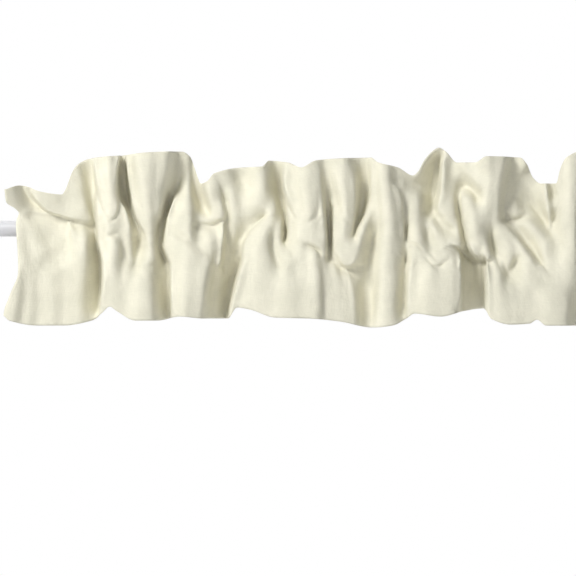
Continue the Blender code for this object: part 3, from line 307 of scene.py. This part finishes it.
SKIRT_FOLDS = [
    Fold("end edge", (17, -40, 25), (13, -62, 28), (7, -88, 28.5), 0.8, 0.8),
    Fold("end panel rise", (29, -44, 22), (28, -62, 22.5), (25, -90, 22.5), 0.5, 0.5, round=4.0),
    Fold("end panel hollow", (47, -44, 20), (46, -62, 19.5), (45, -90, 19.5), 0.9, 0.9, round=7.0),
    Fold("end panel foot", (70, -48, 16.5), (71, -62, 16.5), (72, -94, 16.5), 1.0, 1.0, round=6.0),
    Fold("first valley", (98, -20, 1), (100.5, -44, 0), (99, -78, 0), 0.6, 0.4),
    Fold("second finger edge", (100, -18, 21), (104.5, -42, 28), (101, -76, 29), 0.4, 1.0),
    Fold("second finger", (113, -14, 28), (112, -44, 29), (112, -78, 29), 1.1, 1.1, round=4.0),
    Fold("second panel left", (127, -40, 26), (126, -66, 28), (127, -92, 29), 0.7, 0.7, round=4.0),
    Fold("second panel", (140, -40, 28), (141, -66, 31), (143, -92, 31), 1.3, 1.3, round=7.0),
    Fold("second valley", (168.5, -36, 8), (169, -62, 7), (170, -86, 7), 0.6, 0.4),
    Fold("third edge", (171.5, -36, 25), (171.5, -62, 28), (173, -86, 28), 0.4, 1.0),
    Fold("third crest", (187, -36, 29), (186, -62, 32), (183, -88, 33), round=4.0),
    Fold("third right", (206, -38, 29), (203, -60, 31), (200, -89, 31), round=4.0),
    Fold("third slope", (219, -42, 12), (214, -64, 9), (211, -88, 9), round=4.0),
    Fold("third valley", (240, -34, 4), (233, -56, 1), (227.5, -82, 0), 1.1, 0.4),
    Fold("fourth edge", (244, -32, 27), (237, -56, 29), (231, -80, 28), 0.4, 1.0),
    Fold("fourth panel", (262, -36, 28.5), (262, -60, 30), (260, -84, 30), 1.4, 1.4, round=4.0),
    Fold("fourth right", (286, -40, 30), (288, -64, 31.5), (290, -88, 32), 1.0, 1.0, round=4.0),
    Fold("shallow trough", (302, -40, 29.5), (302, -62, 30.5), (302, -89, 31), 0.5, 0.5, round=4.0),
    Fold("narrow crest", (314, -24, 28), (316, -54, 31), (316.5, -89, 32), 0.9, 0.8),
    Fold("narrow crest edge", (319, -34, 28.5), (319.5, -62, 30.5), (319.5, -89, 31), 1.0, 0.4),
    Fold("seam recess", (322.5, -36, 24), (323, -62, 25.3), (322.5, -90, 26), 0.4, 1.0),
    Fold("seam recess face", (335, -42, 23), (336, -64, 25), (336, -92, 25.5)),
    Fold("seam", (346, -42, 22), (349, -64, 24), (352, -95, 24.5), 0.8, 0.8),
    Fold("fifth valley", (370, -38, 12), (369, -62, 11), (367, -94, 13), 1.0, 1.0, round=4.0),
    Fold("fifth panel", (385, -40, 26), (384, -68, 28.5), (383, -97, 29), 1.3, 1.3, round=6.0),
    Fold("sixth valley", (406, -33, 16), (405.5, -56, 16), (405, -78, 16), 0.5, 0.3),
    Fold("sixth edge", (411, -28, 25), (408, -56, 28), (407.5, -78, 28), 0.4, 1.0),
    Fold("sixth panel", (431, -40, 30.5), (431, -62, 32), (431, -86, 32.5), 1.1, 1.1, round=4.0),
    Fold("sixth hollow", (445, -42, 29.5), (445, -62, 31.5), (445, -86, 32), 0.6, 0.6, round=4.0),
    Fold("sixth right", (452, -26, 27.5), (453, -55, 32), (452, -84, 32.5), 1.0, 1.0, round=4.0),
    Fold("sixth right edge", (460, -22, 26), (460.5, -56, 30.5), (458.5, -76, 31), 1.0, 0.4),
    Fold("seventh valley left", (463.5, -24, 5), (464, -56, 2), (462, -76, 1), 0.4, 1.0),
    Fold("seventh valley", (474, -36, 2), (474, -56, 0), (473, -80, 0), 1.3, 1.3),
    Fold("seventh valley right", (483, -32, 3), (484, -56, 1), (484, -80, 0), 0.9, 0.3),
    Fold("seventh edge", (486, -30, 26), (487, -56, 29), (487.5, -86, 29), 0.4, 1.0),
    Fold("seventh crest", (495, -34, 27), (498, -60, 30), (500, -92, 30), round=4.0),
    Fold("seventh hollow", (508, -46, 27), (512, -64, 29), (513, -94, 30), 0.6, 0.6, round=4.0),
    Fold("eighth panel", (531, -46, 27), (530, -66, 29), (528, -94, 29), 1.2, 1.2, round=4.0),
    Fold("eighth hollow", (549, -40, 27), (552, -54, 28.5), (549, -68, 31), 0.7, 0.7, round=4.0),
    Fold("ninth panel", (553, -74, 31), (552, -84, 32), (551, -97, 32), round=4.0),
    Fold("tenth valley", (587, -50, 25), (587, -74, 24), (587, -96, 24), 0.9, 0.9, round=4.0),
    Fold("tenth panel edge", (597, -40, 22), (598, -64, 27), (599, -95, 28), 0.4, 1.0),
    Fold("tenth panel valley", (593.5, -40, 5), (594, -64, 3), (595, -95, 4), 0.8, 0.4),
    Fold("eleventh panel", (612, -40, 27), (615, -64, 30), (616, -94, 29), 1.2, 1.2, round=4.0),
    Fold("eleventh valley", (631, -40, 6), (633, -64, 1), (634, -92, -1)),
    Fold("far end edge", (652, -40, 18), (655, -62, 21), (658, -92, 23), 1.2, 1.2),
]

# A crease is narrower than a fold. It runs through three places (across, up). Its width is how far it
# reaches to each side, trough is how deep it sinks, and step is how far its upper or right-hand side
# stands over the other.
Crease = namedtuple("Crease", "name start middle end width trough step", defaults=[0.0])

CREASES = [
    Crease("flap crest", (22, 43), (33, 29), (47, 18), 2.6, 0.0, 1.4),
    Crease("flap lip", (38, 21.5), (62, 11.5), (91, 4.5), 1.7, 2.6, 2.4),
    Crease("under the finger tip", (97, 33), (112, 9), (120.5, 30), 2.0, 1.8, 1.6),
    Crease("over the second finger", (104, -14), (115, -6), (124, -26), 2.4, 1.6, 0.8),
    Crease("under the funnel", (128, -33), (147, -36), (165, -32), 3.0, 1.2, 1.0),
    Crease("slanting groove", (165, 5), (194, -14), (225, -32), 4.5, 3.4, 1.6),
    Crease("under the small bulge", (198, 7), (212, 3.5), (224, 12), 1.8, 1.6, 1.0),
    Crease("beside the bulge", (221, 34), (224.5, 20), (221, 6), 1.8, 1.5, 0.6),
    Crease("beside the leaf", (268, 16), (250, -4), (240, -32), 2.6, 1.8, -1.4),
    Crease("knob branch", (286, 34), (291, 18), (300, 6), 2.2, 2.4, 1.0),
    Crease("knob drape", (318, 44), (316, 14), (301, 5), 3.0, 1.8, -0.6),
    Crease("loop", (275, -2), (273, -22), (284, -41), 2.2, 2.2, 0.8),
    Crease("knob lip", (305, -15), (315, -18.5), (323, -28), 1.8, 1.6, 1.2),
    Crease("long band foot", (333, -20), (346, -40), (360, -27), 2.6, 2.2, 2.6),
    Crease("long band groove", (339, 26), (347, 8), (356, 6), 2.6, 1.4, 0.4),
    Crease("peak branch", (437, 24), (443, 10), (458, -3), 2.4, 1.3, 0.2),
    Crease("first pouch", (407, -17), (416, -15), (424, -24), 2.0, 1.4, 1.4),
    Crease("second pouch", (425, -24), (437, -37), (450, -24), 2.2, 1.6, 1.8),
    Crease("third pouch", (444, -22), (453, -17.5), (462, -22), 1.8, 1.8, 1.2),
    Crease("over the tongue", (459, 30), (467, 44), (481, 28), 2.4, 1.6, 1.0),
    Crease("under the tongue", (461, -20), (474, -31.5), (486, -30), 2.0, 1.4, 2.0),
    Crease("small facet", (505, 11), (514, 9.5), (528, 14), 1.8, 1.6, 1.4),
    Crease("small facet left", (506, 28), (505.5, 18), (509, 10), 1.6, 1.4, 0.6),
    Crease("slanting fold", (505, 7), (522, -13), (538, -38), 2.2, 2.0, 1.2),
    Crease("forked crease", (501, -18), (506, -40), (511, -47), 2.2, 1.6, 0.6),
    Crease("forked crease right", (509, -48), (513, -38), (521, -26), 2.6, 1.4, -0.6),
    Crease("small finger notch", (530, 22), (541, 11), (550, -4), 2.4, 1.6, -0.8),
    Crease("seam", (345.5, -38), (348.5, -62), (352, -96), 1.4, 1.0),
    Crease("high crease", (64, 60), (78, 50), (84, 34), 4.0, 1.2, 0.4),
    Crease("lobe crease", (236, 58), (244, 44), (256, 36), 4.5, 1.4, 0.0),
    Crease("small rib", (492, -2), (494, -16), (497, -28), 2.2, 1.6, 0.8),
    Crease("fourth panel dimple", (262, -44), (272, -62), (284, -84), 9.0, 0.6),
    Crease("eighth panel dimple", (524, -52), (532, -66), (546, -84), 7.0, 1.4),
    Crease("end panel slant", (78, -10), (62, -25), (44, -42), 10.0, 3.0, 0.6),
]

# The heading's top edge and the hem, as (across, up) at each rise and dip
TOP_EDGE = [
    (7, 39), (20, 43), (27, 42), (40, 37), (62, 34), (67, 42), (72, 56), (79, 65), (90, 70), (122, 73),
    (150, 76), (182, 77), (190, 72), (195, 59), (201, 45), (207, 47), (214, 55), (240, 61), (262, 62),
    (269, 68), (288, 66), (301, 61), (316, 68), (340, 70), (371, 71), (378, 66), (398, 61), (413, 53),
    (418, 57), (424, 68), (432, 77), (439, 81), (446, 77), (457, 66), (475, 66), (486, 72), (520, 71),
    (527, 64), (533, 51), (541, 45), (556, 45), (560, 60), (566, 71), (580, 77), (598, 76), (614, 69),
    (630, 64), (644, 69), (656, 67), (664, 61),
]
HEM = [
    (5, -87), (10, -92), (38, -97), (64, -97), (92, -92), (103, -84), (110, -78), (118, -83),
    (136, -92), (158, -92), (180, -88), (205, -90), (228, -90), (237, -79), (250, -81), (275, -89),
    (310, -90), (340, -93), (372, -99), (392, -97), (406, -90), (414, -85), (440, -88), (462, -83),
    (484, -80), (490, -90), (510, -96), (529, -95), (536, -91), (545, -97), (575, -97), (600, -95),
    (618, -96), (634, -91), (650, -94), (662, -91),
]
# The two stitch rows, which the gathers pull a little up and down, as (across, up)
STITCH_ABOVE = [
    (5, 12.5), (40, 13.5), (75, 9.5), (98, 8.5), (130, 11.5), (165, 12.0), (205, 9.0), (235, 9.5),
    (275, 12.5), (310, 11.5), (345, 12.5), (385, 11.5), (415, 10.0), (440, 12.5), (470, 12.0),
    (510, 9.0), (545, 9.0), (580, 11.5), (615, 12.5), (660, 10.5),
]
STITCH_BELOW = [
    (5, -36.0), (50, -34.5), (95, -31.5), (125, -36.5), (165, -33.0), (200, -36.5), (235, -34.0),
    (280, -38.0), (320, -33.5), (345, -36.0), (390, -35.0), (425, -33.5), (445, -35.0), (475, -30.5),
    (500, -33.5), (540, -36.5), (575, -34.5), (615, -36.0), (660, -34.0),
]
# The two ends of the cloth, as (up, across), from the hem to the top edge
LEFT_END = [
    (-99, 4), (-87, 5), (-60, 13), (-45, 19), (-20, 18), (8, 16), (14, 20), (28, 14), (39, 7), (81, 5),
]
RIGHT_END = [(-99, 663), (-60, 657), (-36, 653), (-10, 655), (10, 656), (34, 660), (81, 666)]


def through(rows):
    """Turns rows of two columns into a function that runs smoothly through them."""
    at, value = (np.array(column, float) for column in zip(*rows))
    span = np.diff(at)
    slope = np.diff(value) / span
    tangent = np.zeros(len(at))
    same_way = slope[:-1] * slope[1:] > 0
    mean = 2 * slope[:-1] * slope[1:] / np.where(same_way, slope[:-1] + slope[1:], 1)
    tangent[1:-1] = np.where(same_way, mean, 0)
    tangent[0], tangent[-1] = slope[0], slope[-1]

    def curve(x):
        i = np.clip(np.searchsorted(at, x) - 1, 0, len(span) - 1)
        t = np.clip((x - at[i]) / span[i], 0, 1)
        return (
            (1 + 2 * t) * (1 - t) ** 2 * value[i]
            + t * (1 - t) ** 2 * span[i] * tangent[i]
            + t**2 * (3 - 2 * t) * value[i + 1]
            + t**2 * (t - 1) * span[i] * tangent[i + 1]
        )

    return curve


top_edge = through(TOP_EDGE)
hem = through(HEM)
stitch_above = through(STITCH_ABOVE)
stitch_below = through(STITCH_BELOW)
left_end = through(LEFT_END)
right_end = through(RIGHT_END)


def three_place_curve(head, middle, foot):
    """Places along the smooth line from head to foot through the middle place."""
    head, middle, foot = np.array(head, float), np.array(middle, float), np.array(foot, float)
    t = np.linspace(0, 1, CURVE_STEPS + 1)[:, None]
    bend = 2 * middle - (head + foot) / 2
    return (1 - t) ** 2 * head + 2 * t * (1 - t) * bend + t**2 * foot


def outwards(across, up, folds):
    """How far the front of the cloth stands out: every fold line pulls it, the near ones most."""
    place = np.stack([across, up * UPRIGHT_STRETCH], axis=1)
    total = np.zeros(len(across))
    weight = np.full(len(across), 1e-9)
    for fold in folds:
        curve = three_place_curve(fold.head, fold.middle, fold.foot)
        line = curve[:, :2] * (1, UPRIGHT_STRETCH)
        nearest = np.full(len(across), np.inf)
        out = np.zeros(len(across))
        strength = np.ones(len(across))
        for a, b, out_a, out_b in zip(line[:-1], line[1:], curve[:-1, 2], curve[1:, 2]):
            share = np.clip((place - a) @ (b - a) / ((b - a) @ (b - a)), 0, 1)
            gap = ((place - a - share[:, None] * (b - a)) ** 2).sum(axis=1)
            nearer = gap < nearest
            out = np.where(nearer, out_a + share * (out_b - out_a), out)
            turn = (b[0] - a[0]) * (place[:, 1] - a[1]) - (b[1] - a[1]) * (place[:, 0] - a[0])
            strength = np.where(nearer, np.where(turn > 0, fold.right, fold.left), strength)
            nearest = np.where(nearer, gap, nearest)
        away = np.sqrt(nearest + fold.round**2)
        pull = (strength * np.maximum(1 / away - 1 / REACH, 0)) ** 2
        total += pull * out
        weight += pull
    return FOLD_DEPTH * total / weight


def creased(across, up):
    """How far each crease moves the cloth in or out at each place, fading towards the crease's two ends."""
    place = np.stack([across, up], axis=-1)
    moved = np.zeros(across.shape)
    for crease in CREASES:
        line = three_place_curve(crease.start, crease.middle, crease.end)
        nearest = np.full(across.shape, np.inf)
        along = np.zeros(across.shape)
        side = np.ones(across.shape)
        for step, (a, b) in enumerate(zip(line[:-1], line[1:])):
            share = np.clip((place - a) @ (b - a) / ((b - a) @ (b - a)), 0, 1)
            gap = np.linalg.norm(place - a - share[..., None] * (b - a), axis=-1)
            nearer = gap < nearest
            turn = (b[0] - a[0]) * (place[..., 1] - a[1]) - (b[1] - a[1]) * (place[..., 0] - a[0])
            side = np.where(nearer, np.sign(turn), side)
            along = np.where(nearer, (step + share) / CURVE_STEPS, along)
            nearest = np.where(nearer, gap, nearest)
        away = nearest / crease.width
        profile = crease.step * side * away * 2 - crease.trough
        moved += np.sin(np.pi * along) ** 0.7 * profile * np.exp(-(away**2))
    return moved


def line_heights(across):
    """The height of each named line of the cloth at each place across it."""
    return {
        "hem": hem(across),
        "skirt head": stitch_below(across) - STITCH_WIDTH,
        "pocket foot": stitch_below(across),
        "pocket head": stitch_above(across),
        "heading foot": stitch_above(across) + STITCH_WIDTH,
        "top edge": top_edge(across),
    }


ZONES = [
    ("hem", "skirt head", SKIRT_ROWS),
    ("pocket foot", "pocket head", POCKET_ROWS),
    ("heading foot", "top edge", HEADING_ROWS),
]


def cloth_rows():
    """Each row of the cloth as the two lines it lies between and its share of the way from one to the other."""
    return [(lower, upper, row / count) for lower, upper, count in ZONES for row in range(count + 1)]


def row_height(row, across):
    lower, upper, share = row
    lines = line_heights(across)
    return lines[lower] + share * (lines[upper] - lines[lower])


def columns_across(row, folds):
    """Where the columns cross a row, spaced evenly along the cloth as it runs in and out."""
    middle = float(row_height(row, np.array([(left_end(0.0) + right_end(0.0)) / 2]))[0])
    fine = np.linspace(left_end(middle), right_end(middle), FINE_STEPS)
    out = outwards(fine, row_height(row, fine), folds)
    step = np.hypot(np.diff(fine), IN_AND_OUT_WEIGHT * np.diff(out))
    along = np.concatenate([[0], np.cumsum(step)])
    return np.interp(np.linspace(0, along[-1], COLUMNS + 1), along, fine)


def softened(out):
    """Evens the cloth out between neighbours, as its own stiffness does."""
    for _ in range(SOFTENING):
        padded = np.pad(out, 1, mode="edge")
        out = (padded[:-2, 1:-1] + 2 * padded[1:-1, 1:-1] + padded[2:, 1:-1]) / 4
        padded = np.pad(out, 1, mode="edge")
        out = (padded[1:-1, :-2] + 2 * padded[1:-1, 1:-1] + padded[1:-1, 2:]) / 4
    return out


def rod_clearance(up, radius):
    return np.sqrt(np.maximum(radius**2 - up**2, 0))


def sheet_depth(across, out, up):
    """How deep the sheet is from front to back, so that it stays about as thick where it turns away."""
    slope_across = np.gradient(out, axis=1) / np.gradient(across, axis=1)
    slope_up = np.gradient(out, axis=0) / np.gradient(up, axis=0)
    steepness = np.sqrt(1 + slope_across**2 + slope_up**2)
    return PLY_DEPTH * np.minimum(steepness, STEEPEST)


def front_places(folds):
    """The front face of the cloth, row by row from the hem, as across, out and up, and how deep the sheet is."""
    rows = cloth_rows()
    across = np.array([columns_across(row, folds) for row in rows])
    for _ in range(ROW_SMOOTHING):
        across[1:-1] = (across[:-2] + 2 * across[1:-1] + across[2:]) / 4
    up = np.array([row_height(row, line) for row, line in zip(rows, across)])
    out = softened(outwards(across.ravel(), up.ravel(), folds).reshape(across.shape)) + creased(across, up)
    clear = rod_clearance(up, ROD_RADIUS + ROD_CLEARANCE + CHORD_ALLOWANCE)
    out = np.maximum(out, clear + PLY_DEPTH)
    depth = sheet_depth(across, out, up)
    return across, np.where(clear > 0, np.maximum(out, clear + depth), out), up, depth


def placed(across, out, up):
    """Places in metres, measured from the centre of the rod's left end."""
    return np.stack([across + TABLE_ZERO, -out, up], axis=-1) * MM


def back_section(folds, across, low, high):
    """The back ply from stitch to stitch, as out and up: up behind the rod, over it, and forward again."""
    puff = BACK_PUFF * outwards(across + BACK_SHIFT, np.full(len(across), BACK_MIDDLE), folds)
    rows = [low]
    for place in BACK_PLACES:
        behind = place.behind + place.puff * puff
        out = low[0] * place.low_share + high[0] * place.high_share - behind
        rows.append((out, np.full(len(across), place.up)))
    rows.append(high)
    return np.array([row[0] for row in rows]), np.array([row[1] for row in rows])


def finer_rows(rows, count):
    """A smooth curve with more rows through each column's places."""
    at = np.linspace(0, 1, len(rows))
    wanted = np.linspace(0, 1, count + 1)
    return np.array([through(list(zip(at, column)))(wanted) for column in rows.T]).T


def across_section(out, up):
    """The direction that points out of the back ply, within each upright section of it."""
    run_out, run_up = np.gradient(out, axis=0), np.gradient(up, axis=0)
    size = np.hypot(run_out, run_up)
    return -run_up / size, run_out / size


def thin_sheet(front, back):
    """A closed sheet between two grids of places, which also keeps each vertex's row and its side."""
    mesh = bmesh.new()
    row_of = mesh.verts.layers.int.new("row")
    column_of = mesh.verts.layers.int.new("column")
    side_of = mesh.verts.layers.int.new("side")
    rows, columns = front.shape[:2]
    bmesh.ops.create_grid(mesh, x_segments=columns - 1, y_segments=rows - 1, size=1)
    for vertex in mesh.verts:
        vertex[column_of] = round((vertex.co.x + 1) / 2 * (columns - 1))
        vertex[row_of] = round((vertex.co.y + 1) / 2 * (rows - 1))
        vertex.co = front[vertex[row_of], vertex[column_of]]
    bmesh.ops.triangulate(mesh, faces=mesh.faces, quad_method="SHORT_EDGE")
    grown = bmesh.ops.extrude_face_region(mesh, geom=mesh.faces, use_keep_orig=True)
    for vertex in (part for part in grown["geom"] if isinstance(part, bmesh.types.BMVert)):
        vertex[side_of] = 1
        vertex.co = back[vertex[row_of], vertex[column_of]]
    return mesh


def open_strip(mesh, rows, sides):
    """Removes the faces whose corners all lie on the given rows and the given sides of a sheet."""
    row_of, side_of = mesh.verts.layers.int["row"], mesh.verts.layers.int["side"]
    strip = [
        face
        for face in mesh.faces
        if all(vertex[row_of] in rows and vertex[side_of] in sides for vertex in face.verts)
    ]
    bmesh.ops.delete(mesh, geom=strip, context="FACES_ONLY")


def lay_threads(mesh):
    """Gives the cloth a flat map of its own threads: how far along it, and how far up it, in metres."""
    count = len(mesh.loops)
    corner_vertex = np.zeros(count, dtype=np.int32)
    mesh.loops.foreach_get("vertex_index", corner_vertex)
    row = np.zeros(len(mesh.vertices), dtype=np.int32)
    column = np.zeros(len(mesh.vertices), dtype=np.int32)
    mesh.attributes["row"].data.foreach_get("value", row)
    mesh.attributes["column"].data.foreach_get("value", column)
    flat = np.stack([column * THREAD_STEP_ACROSS, row * THREAD_STEP_UP], axis=1)[corner_vertex] * MM
    threads = mesh.uv_layers.new(name="threads")
    threads.data.foreach_set("uv", flat.ravel().astype(np.float32))


def make_cloth():
    folds = HEADING_FOLDS + POCKET_FOLDS + SKIRT_FOLDS
    across, out, up, depth = front_places(folds)
    front, back = placed(across, out, up), placed(across, out - depth, up)
    low, high = SKIRT_ROWS, SKIRT_ROWS + 1 + POCKET_ROWS
    full = thin_sheet(front, back)
    open_strip(full, (low, low + 1), (1,))
    open_strip(full, (high, high + 1), (1,))

    low_inside = (out[low + 1] - depth[low + 1], up[low + 1])
    high_inside = (out[high] - depth[high], up[high])
    inner_out, inner_up = back_section(folds, (across[low] + across[high]) / 2, low_inside, high_inside)
    inner_out, inner_up = finer_rows(inner_out, BACK_ROWS), finer_rows(inner_up, BACK_ROWS)
    share = np.linspace(0, 1, BACK_ROWS + 1)[:, None]
    inner_across = across[low + 1] * (1 - share) + across[high] * share
    toward_out, toward_up = across_section(inner_out, inner_up)
    outer_out = inner_out + PLY_DEPTH * toward_out
    outer_up = inner_up + PLY_DEPTH * toward_up
    inner = placed(inner_across, inner_out, inner_up)
    outer = placed(inner_across, outer_out, outer_up)
    outer[0], outer[-1] = back[low], back[high + 1]
    ply = thin_sheet(inner, outer)
    open_strip(ply, (0,), (0, 1))
    open_strip(ply, (BACK_ROWS,), (0, 1))

    joined = bpy.data.meshes.new("gathered_cloth")
    ply.to_mesh(joined)
    full.from_mesh(joined)
    bmesh.ops.remove_doubles(full, verts=full.verts, dist=0.000001)
    bmesh.ops.recalc_face_normals(full, faces=full.faces)
    for face in full.faces:
        face.smooth = True
    full.to_mesh(joined)
    full.free()
    ply.free()
    joined.materials.append(cotton_material())
    lay_threads(joined)
    cloth = bpy.data.objects.new("gathered_cloth", joined)
    bpy.context.scene.collection.objects.link(cloth)
    return cloth


def cotton_material():
    """Unbleached cream cotton: a fine plain weave with slubs, a little uneven in colour."""
    material = bpy.data.materials.new("cream cotton")
    material.use_nodes = True
    nodes, links = material.node_tree.nodes, material.node_tree.links
    shader = nodes["Principled BSDF"]
    thread = nodes.new("ShaderNodeUVMap")
    thread.uv_map = "threads"
    place = nodes.new("ShaderNodeTexCoord")

    def noise(vector, scale, detail, stretch):
        mapping = nodes.new("ShaderNodeMapping")
        mapping.inputs["Scale"].default_value = stretch
        texture = nodes.new("ShaderNodeTexNoise")
        texture.inputs["Scale"].default_value = scale
        texture.inputs["Detail"].default_value = detail
        links.new(vector, mapping.inputs["Vector"])
        links.new(mapping.outputs["Vector"], texture.inputs["Vector"])
        return texture.outputs["Fac"]

    def yarns(direction, pitch):
        wave = nodes.new("ShaderNodeTexWave")
        wave.wave_type = "BANDS"
        wave.bands_direction = direction
        wave.inputs["Scale"].default_value = 2 * math.pi / pitch / 20
        wave.inputs["Distortion"].default_value = 1.6
        wave.inputs["Detail"].default_value = 2.0
        wave.inputs["Detail Scale"].default_value = 2.0
        links.new(thread.outputs["UV"], wave.inputs["Vector"])
        return wave.outputs["Fac"]

    def mixed(kind, one, other, share=None):
        node = nodes.new("ShaderNodeMath")
        node.operation = kind
        links.new(one, node.inputs[0])
        if share is None:
            links.new(other, node.inputs[1])
        else:
            node.inputs[1].default_value = share
        return node.outputs["Value"]

    clouds = noise(place.outputs["Object"], 38.0, 5.0, (1, 1, 1))
    slubs_across = noise(thread.outputs["UV"], 1.0, 3.0, (90, 1500, 1))
    slubs_up = noise(thread.outputs["UV"], 1.0, 3.0, (1500, 90, 1))
    slubs = mixed("ADD", slubs_across, slubs_up)
    weave = mixed("ADD", yarns("X", 0.0007), yarns("Y", 0.0008))
    grain = mixed("ADD", mixed("MULTIPLY", slubs, None, 0.8), mixed("MULTIPLY", weave, None, 0.35))

    cloudy = nodes.new("ShaderNodeMix")
    cloudy.data_type = "RGBA"
    cloudy.inputs["A"].default_value = (0.71, 0.686, 0.55, 1)
    cloudy.inputs["B"].default_value = (0.805, 0.774, 0.628, 1)
    spread = nodes.new("ShaderNodeMapRange")
    spread.inputs["From Min"].default_value = 0.3
    spread.inputs["From Max"].default_value = 0.7
    links.new(clouds, spread.inputs["Value"])
    links.new(spread.outputs["Result"], cloudy.inputs["Factor"])
    speckled = nodes.new("ShaderNodeMix")
    speckled.data_type = "RGBA"
    speckled.blend_type = "MULTIPLY"
    speckled.inputs["Factor"].default_value = 1.0
    shades = nodes.new("ShaderNodeMapRange")
    shades.inputs["From Min"].default_value = 0.7
    shades.inputs["From Max"].default_value = 1.5
    shades.inputs["To Min"].default_value = 0.9
    shades.inputs["To Max"].default_value = 1.06
    links.new(grain, shades.inputs["Value"])
    links.new(cloudy.outputs["Result"], speckled.inputs["A"])
    links.new(shades.outputs["Result"], speckled.inputs["B"])
    links.new(speckled.outputs["Result"], shader.inputs["Base Color"])

    relief = nodes.new("ShaderNodeBump")
    relief.inputs["Strength"].default_value = 0.45
    relief.inputs["Distance"].default_value = 0.0006
    links.new(grain, relief.inputs["Height"])
    rumple = nodes.new("ShaderNodeBump")
    rumple.inputs["Strength"].default_value = 0.5
    rumple.inputs["Distance"].default_value = 0.0025
    links.new(noise(place.outputs["Object"], 95.0, 3.0, (1.0, 1.0, 0.55)), rumple.inputs["Height"])
    links.new(relief.outputs["Normal"], rumple.inputs["Normal"])
    links.new(rumple.outputs["Normal"], shader.inputs["Normal"])
    shader.inputs["Roughness"].default_value = 0.92
    shader.inputs["Sheen Weight"].default_value = 0.08
    shader.inputs["Sheen Roughness"].default_value = 0.5
    return material


gathered_cloth = make_cloth()
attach(gathered_cloth, "root")
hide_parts("valance")

# The studio: a plain pale floor below, large soft lamps and a white surround. A pale wall close behind
# the cloth throws light back on it and is itself out of sight, so the cloth shows from behind too.
WALL_GAP = 0.024
FLOOR_HEIGHT = -0.37
VIEW_MIDDLE = (0.301, -0.0595)
VIEW_DISTANCE = 7.0
VIEW_WIDTH = 0.576


def studio_material(name, colour, glow):
    material = bpy.data.materials.new(name)
    material.use_nodes = True
    nodes, links = material.node_tree.nodes, material.node_tree.links
    shader = nodes["Principled BSDF"]
    shader.inputs["Base Color"].default_value = (*colour, 1)
    shader.inputs["Roughness"].default_value = 0.9
    shader.inputs["Emission Color"].default_value = (1, 1, 1, 1)
    shader.inputs["Emission Strength"].default_value = glow
    return material


def studio_plane(name, size, place, turn, material):
    mesh = bmesh.new()
    matrix = Matrix.Translation(place) @ Matrix.Rotation(turn, 4, "X")
    bmesh.ops.create_grid(mesh, x_segments=1, y_segments=1, size=size, matrix=matrix)
    data = bpy.data.meshes.new(name)
    mesh.to_mesh(data)
    mesh.free()
    data.materials.append(material)
    plane = bpy.data.objects.new(name, data)
    bpy.context.scene.collection.objects.link(plane)
    return plane


def soft_lamp(name, place, target, size, power):
    light = bpy.data.lights.new(name, "AREA")
    light.shape = "SQUARE"
    light.size = size
    light.energy = power
    lamp = bpy.data.objects.new(name, light)
    lamp.location = place
    lamp.rotation_euler = (Vector(target) - Vector(place)).to_track_quat("-Z", "Y").to_euler()
    bpy.context.scene.collection.objects.link(lamp)


wall = studio_plane("wall", 3.0, (0.3, WALL_GAP, 3.0 + FLOOR_HEIGHT), math.pi / 2, studio_material("white wall", (0.4, 0.4, 0.4), 0.69))
wall.visible_camera = False
studio_plane("floor", 3.0, (0.3, WALL_GAP - 3.0, FLOOR_HEIGHT), 0.0, studio_material("pale floor", (0.8, 0.8, 0.8), 0.0))
soft_lamp("key", (-1.0, -1.6, 1.35), (0.3, 0, 0), 0.8, 57)
soft_lamp("fill", (0.9, -1.9, 0.2), (0.3, 0, 0), 1.4, 4)

world = bpy.data.worlds.new("studio")
bpy.context.scene.world = world
world.use_nodes = True
nodes, links = world.node_tree.nodes, world.node_tree.links
room_light = nodes["Background"]
room_light.inputs["Color"].default_value = (0.84, 0.89, 1, 1)
room_light.inputs["Strength"].default_value = 0.15
surround = nodes.new("ShaderNodeBackground")
surround.inputs["Color"].default_value = (1, 1, 1, 1)
seen = nodes.new("ShaderNodeLightPath")
either = nodes.new("ShaderNodeMixShader")
links.new(seen.outputs["Is Camera Ray"], either.inputs["Fac"])
links.new(room_light.outputs["Background"], either.inputs[1])
links.new(surround.outputs["Background"], either.inputs[2])
links.new(either.outputs["Shader"], nodes["World Output"].inputs["Surface"])
bpy.context.scene.view_settings.view_transform = "Standard"

view = bpy.data.cameras.new("view")
view.sensor_width = 36
view.lens = 36 * (VIEW_DISTANCE - 0.02) / VIEW_WIDTH
camera = bpy.data.objects.new("view", view)
camera.location = (VIEW_MIDDLE[0], -VIEW_DISTANCE, VIEW_MIDDLE[1])
camera.rotation_euler = (math.pi / 2, 0, 0)
bpy.context.scene.collection.objects.link(camera)
bpy.context.scene.camera = camera
